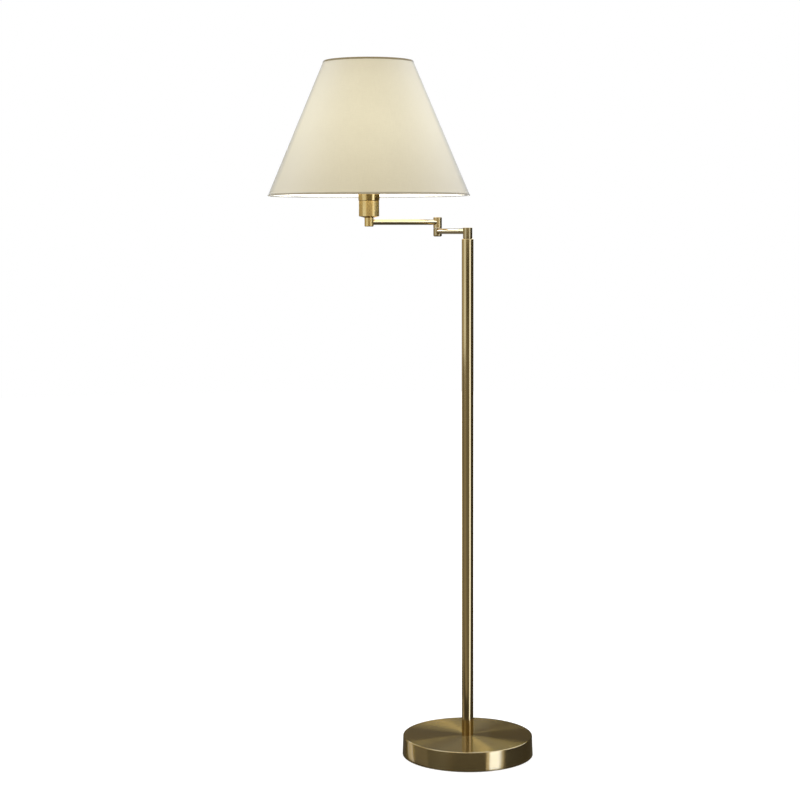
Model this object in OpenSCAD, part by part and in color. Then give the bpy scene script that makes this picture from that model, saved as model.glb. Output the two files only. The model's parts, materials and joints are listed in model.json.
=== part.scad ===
// Bridge floor lamp with a weighted round base, a straight pole, two level arms that swing on
// upright pivots, and a cone shade on a screw lampholder. All sizes are millimetres, +Z is up,
// and the origin lies on the floor under the middle of the pole.

/* [Base] */
// Diameter of the base at the floor
base_dia = 284; // [262:1:324]
// How far the base's skirt leans in between the floor and its top
base_lean = 1.5; // [0.5:0.1:2.5]
// Height of the base from the floor to its top
base_h = 43; // [41:0.5:60]
// Thickness of the pressed cover
base_wall = 1.2; // [0.8:0.1:1.6]
// Outer radius of the cover's top edge
base_edge_r = 2; // [1.8:0.1:5]
// Width of the lip turned in at the cover's rim
base_lip = 3; // [1.5:0.1:5]
// Height of the cover's rim above the floor
cover_lift = 1.2; // [0.8:0.1:1.8]
// Thickness of the felt pad
felt_t = 2; // [2:0.1:4]
// Distance that the felt stays inside the weight's edge
felt_inset = 4; // [2:0.5:10]

/* [Iron weight] */
// Gap between the weight and the cover's lip
weight_gap = 1.3; // [0.8:0.1:4]
// Thickness of the weight's disc
weight_t = 16; // [15.5:0.5:20]
// Diameter of the middle boss that carries the cover
boss_dia = 70; // [60:1:80]
// Number of ribs between the boss and the disc
rib_count = 6; // [4:1:10]
// Thickness of a rib
rib_w = 8; // [4:0.5:14]
// Distance from the disc's edge to a rib's end
rib_inset = 14; // [8:1:40]
// Height of a rib's outer end above the disc
rib_tip_h = 4; // [2:0.5:10]
// Diameter of the recess for the nut
recess_dia = 46; // [36:1:50]
// Depth of the recess for the nut
recess_h = 22; // [21:0.5:26]
// Width of the channel for the lead
channel_w = 12; // [8:0.5:14]
// Depth of the channel for the lead
channel_h = 10; // [9:0.5:12]

/* [Cord gland] */
// Bore of the gland, for the mains lead
gland_bore = 7; // [5:0.1:8]
// Diameter of the gland's body
gland_dia = 10; // [9.5:0.1:11]
// Diameter of the gland's outer flange
gland_flange_dia = 13; // [12.4:0.1:15]
// Thickness of the gland's outer flange
gland_flange_t = 1.6; // [1:0.1:3]
// Diameter of the snap collar behind the cover
gland_snap_dia = 12; // [11.4:0.1:14]
// Length of the gland behind the cover
gland_tail = 7; // [5:0.5:8]
// Height of the gland's middle above the floor
gland_z = 9.5; // [9.3:0.1:12]

/* [Foot stud] */
// Diameter of the threaded studs and nipples
stud_dia = 10; // [9:0.1:11]
// Bore of the threaded studs and nipples
stud_bore = 7; // [5:0.1:7.4]
// Length of the stud inside the pole
stud_grip = 19; // [12:0.5:28]
// Length of the stud below the nut
stud_tail = 2; // [0.5:0.1:2.5]
// Width across the flats of the foot nut
foot_nut_af = 17; // [16:0.5:22]
// Thickness of the foot nut
foot_nut_t = 6; // [5:0.5:6]
// Diameter of the foot washer
foot_washer_dia = 30; // [26:1:34]
// Thickness of the foot washer
foot_washer_t = 2; // [1.5:0.1:2.5]

/* [Terminal block] */
// Width of the terminal block
block_w = 18; // [15:0.5:22]
// Length of the terminal block
block_l = 24; // [18:0.5:30]
// Height of the terminal block
block_h = 11; // [9.5:0.5:11.5]
// Height of the wire holes above the block's underside
block_entry_h = 4; // [3.5:0.1:4.4]
// Distance from the pole's axis to the terminal block
block_y = 45; // [43:1:60]
// Diameter of the block's wire holes
wire_hole = 3.6; // [2.5:0.1:4]
// Distance between the block's two poles
wire_pitch = 10; // [8:0.1:11]
// Diameter of a terminal screw
block_screw_dia = 3; // [2.5:0.1:3.4]
// Length of a terminal screw
block_screw_l = 3.4; // [2.5:0.1:3.5]
// Distance between the two screws of one pole
block_screw_pitch = 12; // [9:0.5:16]
// Diameter of the screw that fixes the block
fixing_dia = 3.5; // [3:0.1:4]
// Diameter of the fixing screw's head
fixing_head_dia = 6.4; // [5.5:0.1:7.5]
// Thickness of the fixing screw's head
fixing_head_h = 1.4; // [1:0.1:1.9]
// Depth of the fixing screw in the weight
fixing_grip = 2.5; // [1.5:0.1:2.8]
// Space round the block in its pocket
block_gap = 1; // [0.5:0.1:2]

/* [Pole] */
// Diameter of the pole
pole_dia = 25; // [22:0.5:32]
// Wall of the pole
pole_wall = 1.5; // [1:0.1:2]
// Length of the pole's tube
pole_len = 1074; // [700:1:1300]
// Height of the plug in the pole's foot
foot_plug_h = 22; // [20:1:40]
// Thickness of the pole cap's flange
cap_flange_t = 3; // [2.5:0.1:6]
// Radius of the pole cap's top edge
cap_edge_r = 1.2; // [0.4:0.1:2]
// Depth of the pole cap's spigot
cap_spigot_h = 14; // [8:0.5:30]

/* [Swivels] */
// Diameter of the two hollow pivots
pivot_dia = 12; // [11:0.1:12.4]
// Bore of the two hollow pivots
pivot_bore = 9; // [8.4:0.1:9.6]
// Length of a pivot that shows above its nut
pivot_proud = 0.8; // [0.4:0.1:0.9]
// Thickness of the elbow pivot's flange
pivot_flange_t = 1.4; // [1:0.1:1.6]
// Diameter of the elbow pivot's flange
pivot_flange_dia = 14.4; // [13.6:0.1:15]
// Diameter of the ring nuts
ring_nut_dia = 15; // [14.2:0.1:15]
// Thickness of the ring nuts
ring_nut_t = 2.6; // [2.4:0.1:3.4]
// Width of the two slots in a ring nut
nut_slot_w = 2; // [1:0.1:3]
// Depth of the two slots in a ring nut
nut_slot_h = 1; // [0.5:0.1:1.6]
// Outer diameter of the cone spring washers
spring_dia = 14.8; // [14:0.1:15]
// Sheet thickness of the cone spring washers
spring_sheet = 0.5; // [0.3:0.1:0.7]
// Free height of the cone spring washers
spring_h = 0.9; // [0.8:0.1:1.4]
// Thickness of the shoulder's friction washer
shoulder_washer_t = 1.6; // [1:0.1:3]
// Thickness of the elbow's friction washer
elbow_washer_t = 0.6; // [0.4:0.1:2]
// Distance that the friction washers stay inside the barrels
washer_inset = 0.7; // [0.6:0.1:0.9]
// Thickness of a barrel's floor round its pivot
barrel_floor = 2.4; // [2.3:0.1:4]
// Wall of the barrels
barrel_wall = 1.7; // [1.5:0.1:1.7]
// Chamfer at the barrels' open edges
barrel_chamfer = 0.5; // [0.2:0.1:0.8]
// Thickness of the flange on a barrel's end cap
end_flange_t = 1; // [0.8:0.1:2]
// Depth of the spigot on a barrel's end cap
end_spigot_h = 2.4; // [1:0.1:2.6]
// Diameter of the stop pins
stop_pin_dia = 1.4; // [1:0.1:1.5]
// Distance from a stop pin to its pivot's axis
stop_pin_r = 7.6; // [7.4:0.05:7.8]
// Height of a stop pin above its washer
stop_pin_proud = 1.2; // [0.8:0.1:1.3]
// Depth of a stop pin below its washer
stop_pin_root = 1.6; // [1:0.1:1.6]
// Whole swing of the shoulder
shoulder_travel = 330; // [200:5:335]
// Whole swing of the elbow
elbow_travel = 340; // [200:5:340]

/* [Arms] */
// Length of the lower arm, between its two pivots
lower_reach = 200; // [120:1:300]
// Length of the upper arm, from its pivot to the lampholder
upper_reach = 200; // [120:1:300]
// Diameter of the arm tubes
arm_dia = 12; // [11.2:0.1:13]
// Wall of the arm tubes
arm_wall = 1; // [0.6:0.1:1.6]
// Direction of the lower arm, from +X
lower_angle = 109.4; // [0:0.1:359]
// Turn of the upper arm from straight on
elbow_turn = 113.7; // [-160:0.1:160]
// Diameter of the shoulder barrel
shoulder_dia = 20; // [19.4:0.1:22]
// Diameter of the elbow barrels
elbow_dia = 19; // [19:0.1:20]
// Diameter of the lampholder's stub
stub_dia = 19.6; // [18.4:0.1:22]
// Room for the lead's bend above the shoulder nut
shoulder_bend_room = 2.6; // [2:0.1:4]
// Room for the lead's bend above the elbow nut
elbow_bend_room = 1.2; // [1:0.1:4]
// Height of the shoulder barrel above its arm
shoulder_head = 0.6; // [0.5:0.1:6]
// Height of the upper elbow barrel above its arm
elbow_head = 3.8; // [2.8:0.1:10]
// Metal above the lower arm at the elbow
elbow_cover = 0.6; // [0.4:0.1:2]
// Thickness of the lower elbow barrel's roof
elbow_roof = 2.1; // [2:0.1:2.3]
// Height of the lower elbow barrel below its arm
elbow_skirt = 2.2; // [1:0.1:8]
// Height of the rounded cap under the elbow
elbow_dome_h = 3.4; // [3.2:0.1:7]
// Edge radius of the rounded cap under the elbow
elbow_dome_r = 3; // [1:0.1:3.1]
// Height of the stub below its arm
stub_skirt = 1.6; // [1:0.1:8]
// Height of the stub's bottom cap
stub_cap_h = 2; // [1.5:0.1:5]
// Chamfer of the stub's bottom cap
stub_chamfer = 1.2; // [0.5:0.1:1.4]
// Gap between the arm and the stub's roof
stub_head = 0.4; // [0.3:0.1:3]
// Thickness of the stub's roof
stub_roof = 3; // [3:0.1:8]

/* [Lead] */
// Diameter of the lead inside the lamp
lead_dia = 3.4; // [2.4:0.1:3.6]
// Radius of the lead's bends in the arms
lead_bend = 6; // [5.6:0.1:6.2]
// Radius of the lead's bend in the base
foot_bend = 8; // [6:0.1:8]
// Height of the lead in the base's channel
lead_z = 8; // [7:0.1:9]

/* [Lampholder cup] */
// Diameter of the cup
cup_dia = 43.8; // [43.4:0.1:50]
// Diameter of the cup's rim
cup_rim_dia = 47; // [46:0.1:54]
// Diameter of the cup's flat bottom
cup_bottom_dia = 20; // [19.6:0.1:26]
// Wall of the cup
cup_wall = 1; // [0.8:0.1:1.2]
// Height of the cup's cone bottom
cup_cone_h = 3.2; // [3:0.1:8]
// Height of the cup's straight wall
cup_side_h = 33.5; // [32:0.1:50]
// Height of the cup's flared band
cup_band_h = 14; // [10:0.1:20]
// Width and depth of the groove under the band
cup_groove = 0.6; // [0.3:0.1:0.7]

/* [Lampholder] */
// Length of the nipple inside the cup
nipple_rise = 12; // [9:0.1:13]
// Length of the nipple in the stub's roof
nipple_grip = 2.8; // [2:0.1:2.9]
// Width across the flats of the lampholder nut
holder_nut_af = 14; // [13:0.1:16]
// Thickness of the lampholder nut
holder_nut_t = 4; // [3:0.1:5]
// Diameter of the lampholder's insulating body
core_dia = 35; // [32:0.1:36]
// Height of the lampholder's insulating body
core_h = 21.6; // [18:0.1:26]
// Height of the body's inlet for the lead
core_inlet_h = 11.6; // [10:0.1:13]
// Diameter of the lampholder's outer sleeve
sleeve_dia = 38.6; // [37.6:0.1:40]
// Wall of the sleeve where it holds the screw shell
sleeve_wall = 4.2; // [3.5:0.1:4.8]
// Distance from the body's bottom to the sleeve's bottom
sleeve_lift = 1.6; // [1:0.1:4]
// Height of the sleeve above the cup's rim
sleeve_proud = 15; // [14:0.5:17]
// Diameter of the screw shell's bore
shell_bore = 27.2; // [26.8:0.1:28.2]
// Sheet thickness of the screw shell
shell_t = 0.5; // [0.3:0.1:0.6]
// Height of the screw shell
shell_h = 35; // [28:0.5:38]
// Diameter of the hole in the screw shell's bottom
shell_hole = 17; // [15:0.1:20]
// Width of the middle contact's strip
contact_w = 7; // [5:0.1:8]
// Thickness of the middle contact's strip
contact_t = 0.6; // [0.4:0.1:1]
// Diameter of a lampholder terminal screw
holder_screw_dia = 3; // [2.5:0.1:3.5]
// Length of a lampholder terminal screw
holder_screw_l = 5; // [4:0.1:8]
// Distance between the two lampholder terminal screws
holder_screw_pitch = 23; // [20:0.5:24]

/* [Bulb] */
// Diameter of the bulb's screw cap
bulb_cap_dia = 26.2; // [26:0.1:26.4]
// Height of the bulb's screw cap
bulb_cap_h = 24; // [20:0.5:26]
// Sheet thickness of the bulb's screw cap
bulb_cap_t = 0.5; // [0.3:0.1:0.6]
// Height of the black insulator under the screw cap
bulb_insulator_h = 4; // [3:0.1:5]
// Diameter of the bulb's end contact
bulb_tip_dia = 9.5; // [8:0.1:10]
// Height of the bulb's end contact
bulb_tip_h = 1; // [0.6:0.1:1.5]
// Height of the bulb's end contact above the body
bulb_seat = 7.4; // [6:0.1:9]
// Diameter of the bulb's glass
bulb_dia = 60; // [50:1:70]
// Height of the glass above the screw cap
bulb_glass_h = 78; // [70:1:90]
// Thickness of the bulb's glass
bulb_wall = 1; // [0.8:0.1:1.5]
// Depth of the glass neck inside the screw cap
bulb_neck_h = 8; // [5:0.5:12]

/* [Shade] */
// Diameter of the shade at its bottom
shade_bottom_dia = 436; // [380:1:460]
// Diameter of the shade at its top
shade_top_dia = 192; // [160:1:240]
// Height of the shade
shade_h = 287.5; // [240:0.5:320]
// Distance from the fitter's hub down to the shade's edge
shade_drop = 4; // [3.6:0.1:8]
// Thickness of the shade's fabric
cover_t = 0.6; // [0.4:0.1:1]
// Thickness of the stiff lining
liner_t = 0.5; // [0.3:0.1:1]
// Diameter of the wire rings in the shade's edges
wire_dia = 3.5; // [3.3:0.1:4]
// Diameter of the fitter's spokes
spoke_dia = 3; // [2.5:0.1:3.2]
// Thickness of the folded hems
hem_t = 0.3; // [0.2:0.05:0.6]
// Height of the folded hems
hem_h = 4; // [3:0.5:8]
// Diameter of the fitter's hub
hub_dia = 58; // [56:0.5:64]
// Thickness of the fitter's hub
hub_t = 1.6; // [1.2:0.1:2.2]
// Number of spokes in the fitter
spoke_count = 3; // [3:1:5]
// Direction of the first spoke, from +X
spoke_angle = -90; // [-180:1:180]
// Diameter of the shade ring
shade_ring_dia = 52; // [48:0.5:54]
// Height of the shade ring
shade_ring_h = 8; // [5:0.1:12]
// Number of grip flutes round the shade ring
flute_count = 24; // [12:1:36]
// Diameter of a grip flute
flute_dia = 3; // [2:0.1:3.4]

/* [Fits] */
// Radial gap of a fixed fit, such as a thread or a spigot
fixed_gap = 0.05; // [0.02:0.01:0.08]
// Radial gap of a turning fit
turning_gap = 0.06; // [0.03:0.01:0.09]
// Gap of a free hole or a free end
free_gap = 0.3; // [0.2:0.05:0.5]

/* [Hidden] */

// Smoothness of the round forms
$fn = 96;
// Corners of a rounded edge
EDGE_STEPS = 6;
// Corners of the bulb's outline
BULB_STEPS = 28;
// How far a cutting form runs past what it cuts
CUT = 1;
// Sides of a hexagon nut
HEX = 6;
// Width and depth of a screwdriver slot
DRIVER_SLOT = 0.7;
// How far an arm tube's hollowed ends stay back from the hollows of its barrels
TUBE_SETBACK = 0.2;

BRASS = [0.62, 0.5, 0.28];
BRIGHT_BRASS = [0.78, 0.64, 0.36];
IRON = [0.24, 0.24, 0.25];
STEEL = [0.68, 0.69, 0.7];
BLACK = [0.07, 0.07, 0.07];
NYLON = [0.86, 0.85, 0.8];
IVORY = [0.93, 0.89, 0.78];
FRAME_WHITE = [0.93, 0.93, 0.92];

// Base: radii and heights
base_foot_r = base_dia / 2;
base_top_r = base_foot_r - base_lean;
skirt_slope = base_lean / base_h;
lip_r = base_foot_r - base_wall - base_lip;
weight_r = min(lip_r, base_top_r - base_wall) - weight_gap;
weight_top = felt_t + weight_t;
cover_under = base_h - base_wall;
recess_top = felt_t + recess_h;
washer_z = recess_top - foot_washer_t;
foot_nut_z = washer_z - foot_nut_t;
stud_z = foot_nut_z - stud_tail;
stud_hole_r = stud_dia / 2 + free_gap;
block_top = lead_z - block_entry_h + block_h;
gland_seat_r = cover_radius(gland_z);
// The flange and the snap collar stay clear of the cover where it leans and curves
gland_gap = 0.07;
gland_clear = gland_gap + skirt_slope * gland_flange_dia / 2;
gland_snap_clear = gland_gap + skirt_slope * gland_snap_dia / 2
    + gland_snap_dia * gland_snap_dia / 8 / base_foot_r;
gland_out = gland_seat_r + gland_clear + gland_flange_t;
gland_in = gland_seat_r - base_wall - gland_snap_clear - gland_tail;

// Pole and shoulder: heights from the floor up
pole_tube_top = base_h + pole_len;
pole_top = pole_tube_top + cap_flange_t;
pole_bore_r = pole_dia / 2 - pole_wall;
pivot_r = pivot_dia / 2;
pivot_bore_r = pivot_bore / 2;
shoulder_z = pole_top + shoulder_washer_t;
shoulder_nut_z = shoulder_z + barrel_floor + spring_h;
shoulder_nut_top = shoulder_nut_z + ring_nut_t;
shoulder_pivot_top = shoulder_nut_top + pivot_proud;
arm_r = arm_dia / 2;
lower_arm_z = shoulder_nut_top + shoulder_bend_room + arm_r;
shoulder_barrel_top = lower_arm_z + arm_r + shoulder_head;

// Elbow: heights from the lower barrel's cap up
elbow_split_z = lower_arm_z + arm_r + elbow_cover;
elbow_roof_z = elbow_split_z - elbow_roof;
elbow_barrel_z = lower_arm_z - arm_r - elbow_skirt;
elbow_z = elbow_split_z + elbow_washer_t;
elbow_nut_z = elbow_z + barrel_floor + spring_h;
elbow_nut_top = elbow_nut_z + ring_nut_t;
elbow_pivot_top = elbow_nut_top + pivot_proud;
upper_arm_z = elbow_nut_top + elbow_bend_room + arm_r;
elbow_barrel_top = upper_arm_z + arm_r + elbow_head;

// Lampholder: heights from the stub up
stub_z = upper_arm_z - arm_r - stub_skirt;
stub_roof_z = upper_arm_z + arm_r + stub_head;
stub_top = stub_roof_z + stub_roof;
cup_floor_z = stub_top + cup_wall;
cup_side_z = stub_top + cup_cone_h;
cup_band_z = cup_side_z + cup_side_h;
cup_top = cup_band_z + cup_band_h;
core_z = cup_floor_z + holder_nut_t;
core_top = core_z + core_h;
shell_r = shell_bore / 2 + shell_t;
hub_top = cup_top + hub_t;
sleeve_top = cup_top + sleeve_proud;
bulb_z = core_top + bulb_seat;
bulb_insulator_z = bulb_z + bulb_tip_h;
bulb_cap_z = bulb_insulator_z + bulb_insulator_h;
bulb_cap_top = bulb_cap_z + bulb_cap_h;
bulb_centre_z = bulb_cap_top + bulb_glass_h - bulb_dia / 2;

// Shade: heights and the slope of its side
shade_z = cup_top - shade_drop;
shade_top = shade_z + shade_h;
shade_slope = (shade_bottom_dia - shade_top_dia) / 2 / shade_h;
// A gap or a thickness square to the shade's side, measured level
slant = sqrt(1 + shade_slope * shade_slope);
skin_gap = 0.05;
liner_off = (cover_t + skin_gap) * slant;
wire_off = liner_off + (liner_t + skin_gap + wire_dia / 2) * slant;
wire_lift = hem_t + wire_dia / 2 + skin_gap;

// Places of the upright axes
elbow_xy = lower_reach * [cos(lower_angle), sin(lower_angle)];
upper_angle = lower_angle + elbow_turn;
holder_xy = elbow_xy + upper_reach * [cos(upper_angle), sin(upper_angle)];

// Angle that the pin takes up in its groove, and the web left between the groove's two ends
pin_angle = 2 * asin(stop_pin_dia / 2 / stop_pin_r);
stop_slack = 2;
// Room beside a stop pin and above it in its groove
pin_side_gap = 0.1;
pin_end_gap = 0.15;
// Each web lies opposite its pin at mid travel: the shoulder's at rest, the elbow's with the arms in line.
// The elbow's pin stands on the far side from the lower arm's socket
shoulder_pin_at = lower_angle + 180;
shoulder_web_at = lower_angle;
elbow_pin_at = lower_angle;
elbow_web_at = upper_angle + 180;

// Radius of the base's outside at a height
function cover_radius(z) = base_foot_r - skirt_slope * z;

// Radius of the shade's outside at a height, less a level offset
function shade_radius(z, off = 0) = shade_bottom_dia / 2 - shade_slope * (z - shade_z) - off;

// Distance from a barrel's axis at which its arm socket starts, inside the cavity's curved wall
function socket_start(cavity_r) = sqrt(cavity_r * cavity_r - arm_r * arm_r) - CUT;

// Points along an arc
function arc(centre, r, from, to, steps = EDGE_STEPS) = [
    for (i = [0:steps])
        let (a = from + (to - from) * i / steps)
            centre + r * [cos(a), sin(a)]
];

// A full turn of an outline of [radius, height] points
module spun(points) {
    rotate_extrude() polygon(points);
}

// A round tube or washer standing on z
module ring(outer_r, inner_r, z, h) {
    translate([0, 0, z])
        difference() {
            cylinder(r = outer_r, h = h);
            translate([0, 0, -CUT]) cylinder(r = inner_r, h = h + 2 * CUT);
        }
}

// A hexagon nut with a round hole, standing on z
module hex_nut(af, hole_r, z, h) {
    translate([0, 0, z])
        difference() {
            cylinder(d = af / cos(180 / HEX), h = h, $fn = HEX);
            translate([0, 0, -CUT]) cylinder(r = hole_r, h = h + 2 * CUT);
        }
}

// A round rod that starts at a distance from the axis and lies level at a height, along an angle
module level_rod(r, z, angle, from, to) {
    rotate([0, 0, angle]) translate([from, 0, z]) rotate([0, 90, 0]) cylinder(r = r, h = to - from);
}

// A quarter bend of the lead, from level along +X to upright on the axis: upwards, or downwards
module lead_elbow(z, bend, up) {
    translate([bend, 0, z + (up ? bend : -bend)])
        rotate([90, 0, 0])
            rotate([0, 0, up ? 180 : 90])
                rotate_extrude(angle = 90)
                    translate([bend, 0]) circle(d = lead_dia);
}

// An upright straight length of the lead
module lead_rise(from, to) {
    translate([0, 0, from]) cylinder(d = lead_dia, h = to - from);
}

// The lead of one arm: up the first axis, along the arm and up the second axis
module arm_lead(z, angle, reach, from, to) {
    rotate([0, 0, angle]) {
        lead_rise(from, z - lead_bend);
        lead_elbow(z, lead_bend, false);
        level_rod(lead_dia / 2, z, 0, lead_bend, reach - lead_bend);
        translate([reach, 0, 0]) mirror([1, 0, 0]) lead_elbow(z, lead_bend, true);
        translate([reach, 0, 0]) lead_rise(z + lead_bend, to);
    }
}

// The elbow's upright axis
module at_elbow() {
    translate([elbow_xy.x, elbow_xy.y, 0]) children();
}

// The lampholder's upright axis
module at_holder() {
    translate([holder_xy.x, holder_xy.y, 0]) children();
}

// A barrel that turns on a pivot: a cup with a bored floor, an arm socket and a groove for the stop pin
module turning_barrel(dia, z, top, arm_z, arm_angle, web_angle, travel) {
    r = dia / 2;
    cavity_r = r - barrel_wall;
    groove_arc = travel + pin_angle + stop_slack;
    groove_from = web_angle + (360 - groove_arc) / 2;
    difference() {
        spun([
            [pivot_r + turning_gap, z], [r - barrel_chamfer, z], [r, z + barrel_chamfer],
            [r, top], [cavity_r, top], [cavity_r, z + barrel_floor],
            [pivot_r + turning_gap, z + barrel_floor]
        ]);
        level_rod(arm_r + fixed_gap, arm_z, arm_angle, socket_start(cavity_r), r + CUT);
        translate([0, 0, z - CUT])
            rotate([0, 0, groove_from])
                rotate_extrude(angle = groove_arc)
                    translate([stop_pin_r - stop_pin_dia / 2 - pin_side_gap, 0])
                        square([stop_pin_dia + 2 * pin_side_gap, CUT + stop_pin_proud + pin_end_gap]);
    }
}

// A plug that closes the top of a barrel, with a small chamfer at its edge
module barrel_end_cap(dia, top) {
    r = dia / 2;
    spigot_r = r - barrel_wall - fixed_gap;
    spun([
        [0, top], [r - barrel_chamfer, top], [r, top - barrel_chamfer], [r, top - end_flange_t],
        [spigot_r, top - end_flange_t], [spigot_r, top - end_flange_t - end_spigot_h],
        [0, top - end_flange_t - end_spigot_h]
    ]);
}

// A friction washer with a hole for the stop pin
module friction_washer(dia, z, h, pin_at) {
    difference() {
        ring(dia / 2 - washer_inset, pivot_r + turning_gap, z, h);
        rotate([0, 0, pin_at])
            translate([stop_pin_r, 0, z - CUT])
                cylinder(r = stop_pin_dia / 2 + fixed_gap, h = h + 2 * CUT);
    }
}

// A stop pin that stands in the fixed side of a swivel and reaches into the barrel's groove
module stop_pin(washer_z, washer_t, pin_at) {
    rotate([0, 0, pin_at])
        translate([stop_pin_r, 0, washer_z - stop_pin_root])
            cylinder(d = stop_pin_dia, h = stop_pin_root + washer_t + stop_pin_proud);
}

// The hole that a stop pin stands in
module stop_pin_hole(washer_z, pin_at) {
    rotate([0, 0, pin_at])
        translate([stop_pin_r, 0, washer_z - stop_pin_root])
            cylinder(r = stop_pin_dia / 2 + fixed_gap, h = stop_pin_root + CUT);
}

// A cone spring washer: its wide edge rests on the barrel's floor, its narrow edge under the nut
module cone_spring(z) {
    inner_r = pivot_r + turning_gap;
    outer_r = spring_dia / 2;
    spun([
        [outer_r, z], [outer_r, z + spring_sheet], [inner_r, z + spring_h],
        [inner_r, z + spring_h - spring_sheet]
    ]);
}

// A round nut with two driving slots across its top
module ring_nut(z) {
    difference() {
        ring(ring_nut_dia / 2, pivot_r + fixed_gap, z, ring_nut_t);
        translate([0, 0, z + ring_nut_t - nut_slot_h / 2 + CUT / 2])
            cube([ring_nut_dia + CUT, nut_slot_w, nut_slot_h + CUT], center = true);
    }
}

// A screwdriver slot across the lower end of a screw at a height
module driver_slot(dia, z) {
    translate([0, 0, z]) cube([dia + CUT, DRIVER_SLOT, 2 * DRIVER_SLOT], center = true);
}

// An arm tube between two barrels, seated in their walls, with ends cut to the hollows' curve
module arm_tube(z, angle, from_cavity, to_cavity, reach) {
    difference() {
        level_rod(arm_r, z, angle, 0, reach);
        level_rod(arm_r - arm_wall, z, angle, -CUT, reach + CUT);
        tube_end_cut(z, from_cavity);
        rotate([0, 0, angle]) translate([reach, 0, 0]) tube_end_cut(z, to_cavity);
    }
}

// The upright cut that hollows an arm tube's end
module tube_end_cut(z, cavity_r) {
    translate([0, 0, z - arm_dia]) cylinder(r = cavity_r + TUBE_SETBACK, h = 2 * arm_dia);
}

// ---------------------------------------------------------------- the base

// Pressed cover with a drawn skirt, a rounded top edge and a lip turned in at the rim
module base_cover() {
    edge = [base_top_r - base_edge_r, base_h - base_edge_r];
    rim_r = cover_radius(cover_lift);
    color(BRASS)
        difference() {
            spun(concat(
                [[lip_r, cover_lift], [rim_r, cover_lift]],
                arc(edge, base_edge_r, 0, 90),
                [[stud_hole_r, base_h], [stud_hole_r, cover_under]],
                arc(edge, base_edge_r - base_wall, 90, 0),
                [[rim_r - base_wall, cover_lift + base_wall], [lip_r, cover_lift + base_wall]]
            ));
            translate([0, base_top_r - base_lip, gland_z])
                rotate([-90, 0, 0])
                    cylinder(r = gland_dia / 2 + free_gap / 2, h = base_lip + base_foot_r);
        }
}

// Cast weight: a disc, a middle boss that carries the cover, and ribs between the two
module base_weight() {
    rib_root = boss_dia / 2 - rib_w / 2;
    rib_end = weight_r - rib_inset;
    color(IRON)
        difference() {
            union() {
                translate([0, 0, felt_t]) cylinder(r = weight_r, h = weight_t);
                translate([0, 0, felt_t]) cylinder(r = boss_dia / 2, h = cover_under - felt_t);
                for (i = [0:rib_count - 1])
                    rotate([90, 0, (i + 0.5) * 360 / rib_count + 90])
                        linear_extrude(height = rib_w, center = true)
                            polygon([
                                [rib_root, weight_top - CUT], [rib_end, weight_top - CUT],
                                [rib_end, weight_top + rib_tip_h],
                                [rib_root, cover_under - base_wall - free_gap]
                            ]);
            }
            translate([0, 0, felt_t - CUT]) cylinder(r = recess_dia / 2, h = recess_h + CUT);
            translate([0, 0, felt_t]) cylinder(r = stud_hole_r, h = base_h);
            translate([-channel_w / 2, 0, felt_t - CUT])
                cube([channel_w, weight_r + CUT, channel_h + CUT]);
            translate([-block_w / 2 - block_gap, block_y - block_gap, felt_t - CUT])
                cube([block_w + 2 * block_gap, block_l + 2 * block_gap, block_top - felt_t + CUT]);
            gland_notch();
            block_fixing(fixing_dia / 2 + fixed_gap, block_top + fixing_grip + free_gap);
        }
}

// Notch in the weight's edge, clear of the gland's inner end
module gland_notch() {
    notch_w = gland_snap_dia + 2 * base_lip;
    translate([-notch_w / 2, gland_in - base_lip, felt_t - CUT])
        cube([notch_w, weight_r, weight_t + 2 * CUT]);
}

// The line of the screw that holds the terminal block, up to a height
module block_fixing(r, top) {
    translate([0, block_y + block_l / 2, felt_t]) cylinder(r = r, h = top - felt_t);
}

// Felt pad under the weight
module base_felt() {
    color([0.13, 0.13, 0.14]) cylinder(r = weight_r - felt_inset, h = felt_t);
}

// Bush where the mains lead leaves the skirt: an outer flange, a body and a snap collar
module cord_gland() {
    collar_y = gland_seat_r - base_wall - gland_snap_clear;
    body_r = gland_dia / 2;
    bore_r = gland_bore / 2;
    flange_r = gland_flange_dia / 2;
    snap_r = gland_snap_dia / 2;
    snap_l = 3;
    snap_edge = 0.5;
    color(BLACK)
        translate([0, 0, gland_z])
            rotate([-90, 0, 0])
                spun([
                    [bore_r, gland_in], [body_r, gland_in], [body_r, collar_y - snap_l],
                    [snap_r, collar_y - snap_edge], [snap_r, collar_y], [body_r, collar_y],
                    [body_r, gland_seat_r + gland_clear], [flange_r, gland_seat_r + gland_clear],
                    [flange_r, gland_out - gland_flange_t / 2],
                    [flange_r - gland_flange_t / 2, gland_out], [bore_r, gland_out]
                ]);
}

// Hollow stud that ties the weight, the cover and the pole together
module foot_stud() {
    color(STEEL) ring(stud_dia / 2, stud_bore / 2, stud_z, base_h + stud_grip - stud_z);
}

// Plain washer under the weight's boss
module foot_washer() {
    color(STEEL) ring(foot_washer_dia / 2, stud_hole_r, washer_z, foot_washer_t);
}

// Hexagon nut on the stud
module foot_nut() {
    color(STEEL) hex_nut(foot_nut_af, stud_dia / 2 + fixed_gap, foot_nut_z, foot_nut_t);
}

// Places of the four terminal screws, on the block's underside
module at_block_screws() {
    for (x = [-1, 1], y = [-1, 1])
        translate([
            x * wire_pitch / 2, block_y + block_l / 2 + y * block_screw_pitch / 2, block_top - block_h
        ])
            children();
}

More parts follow.
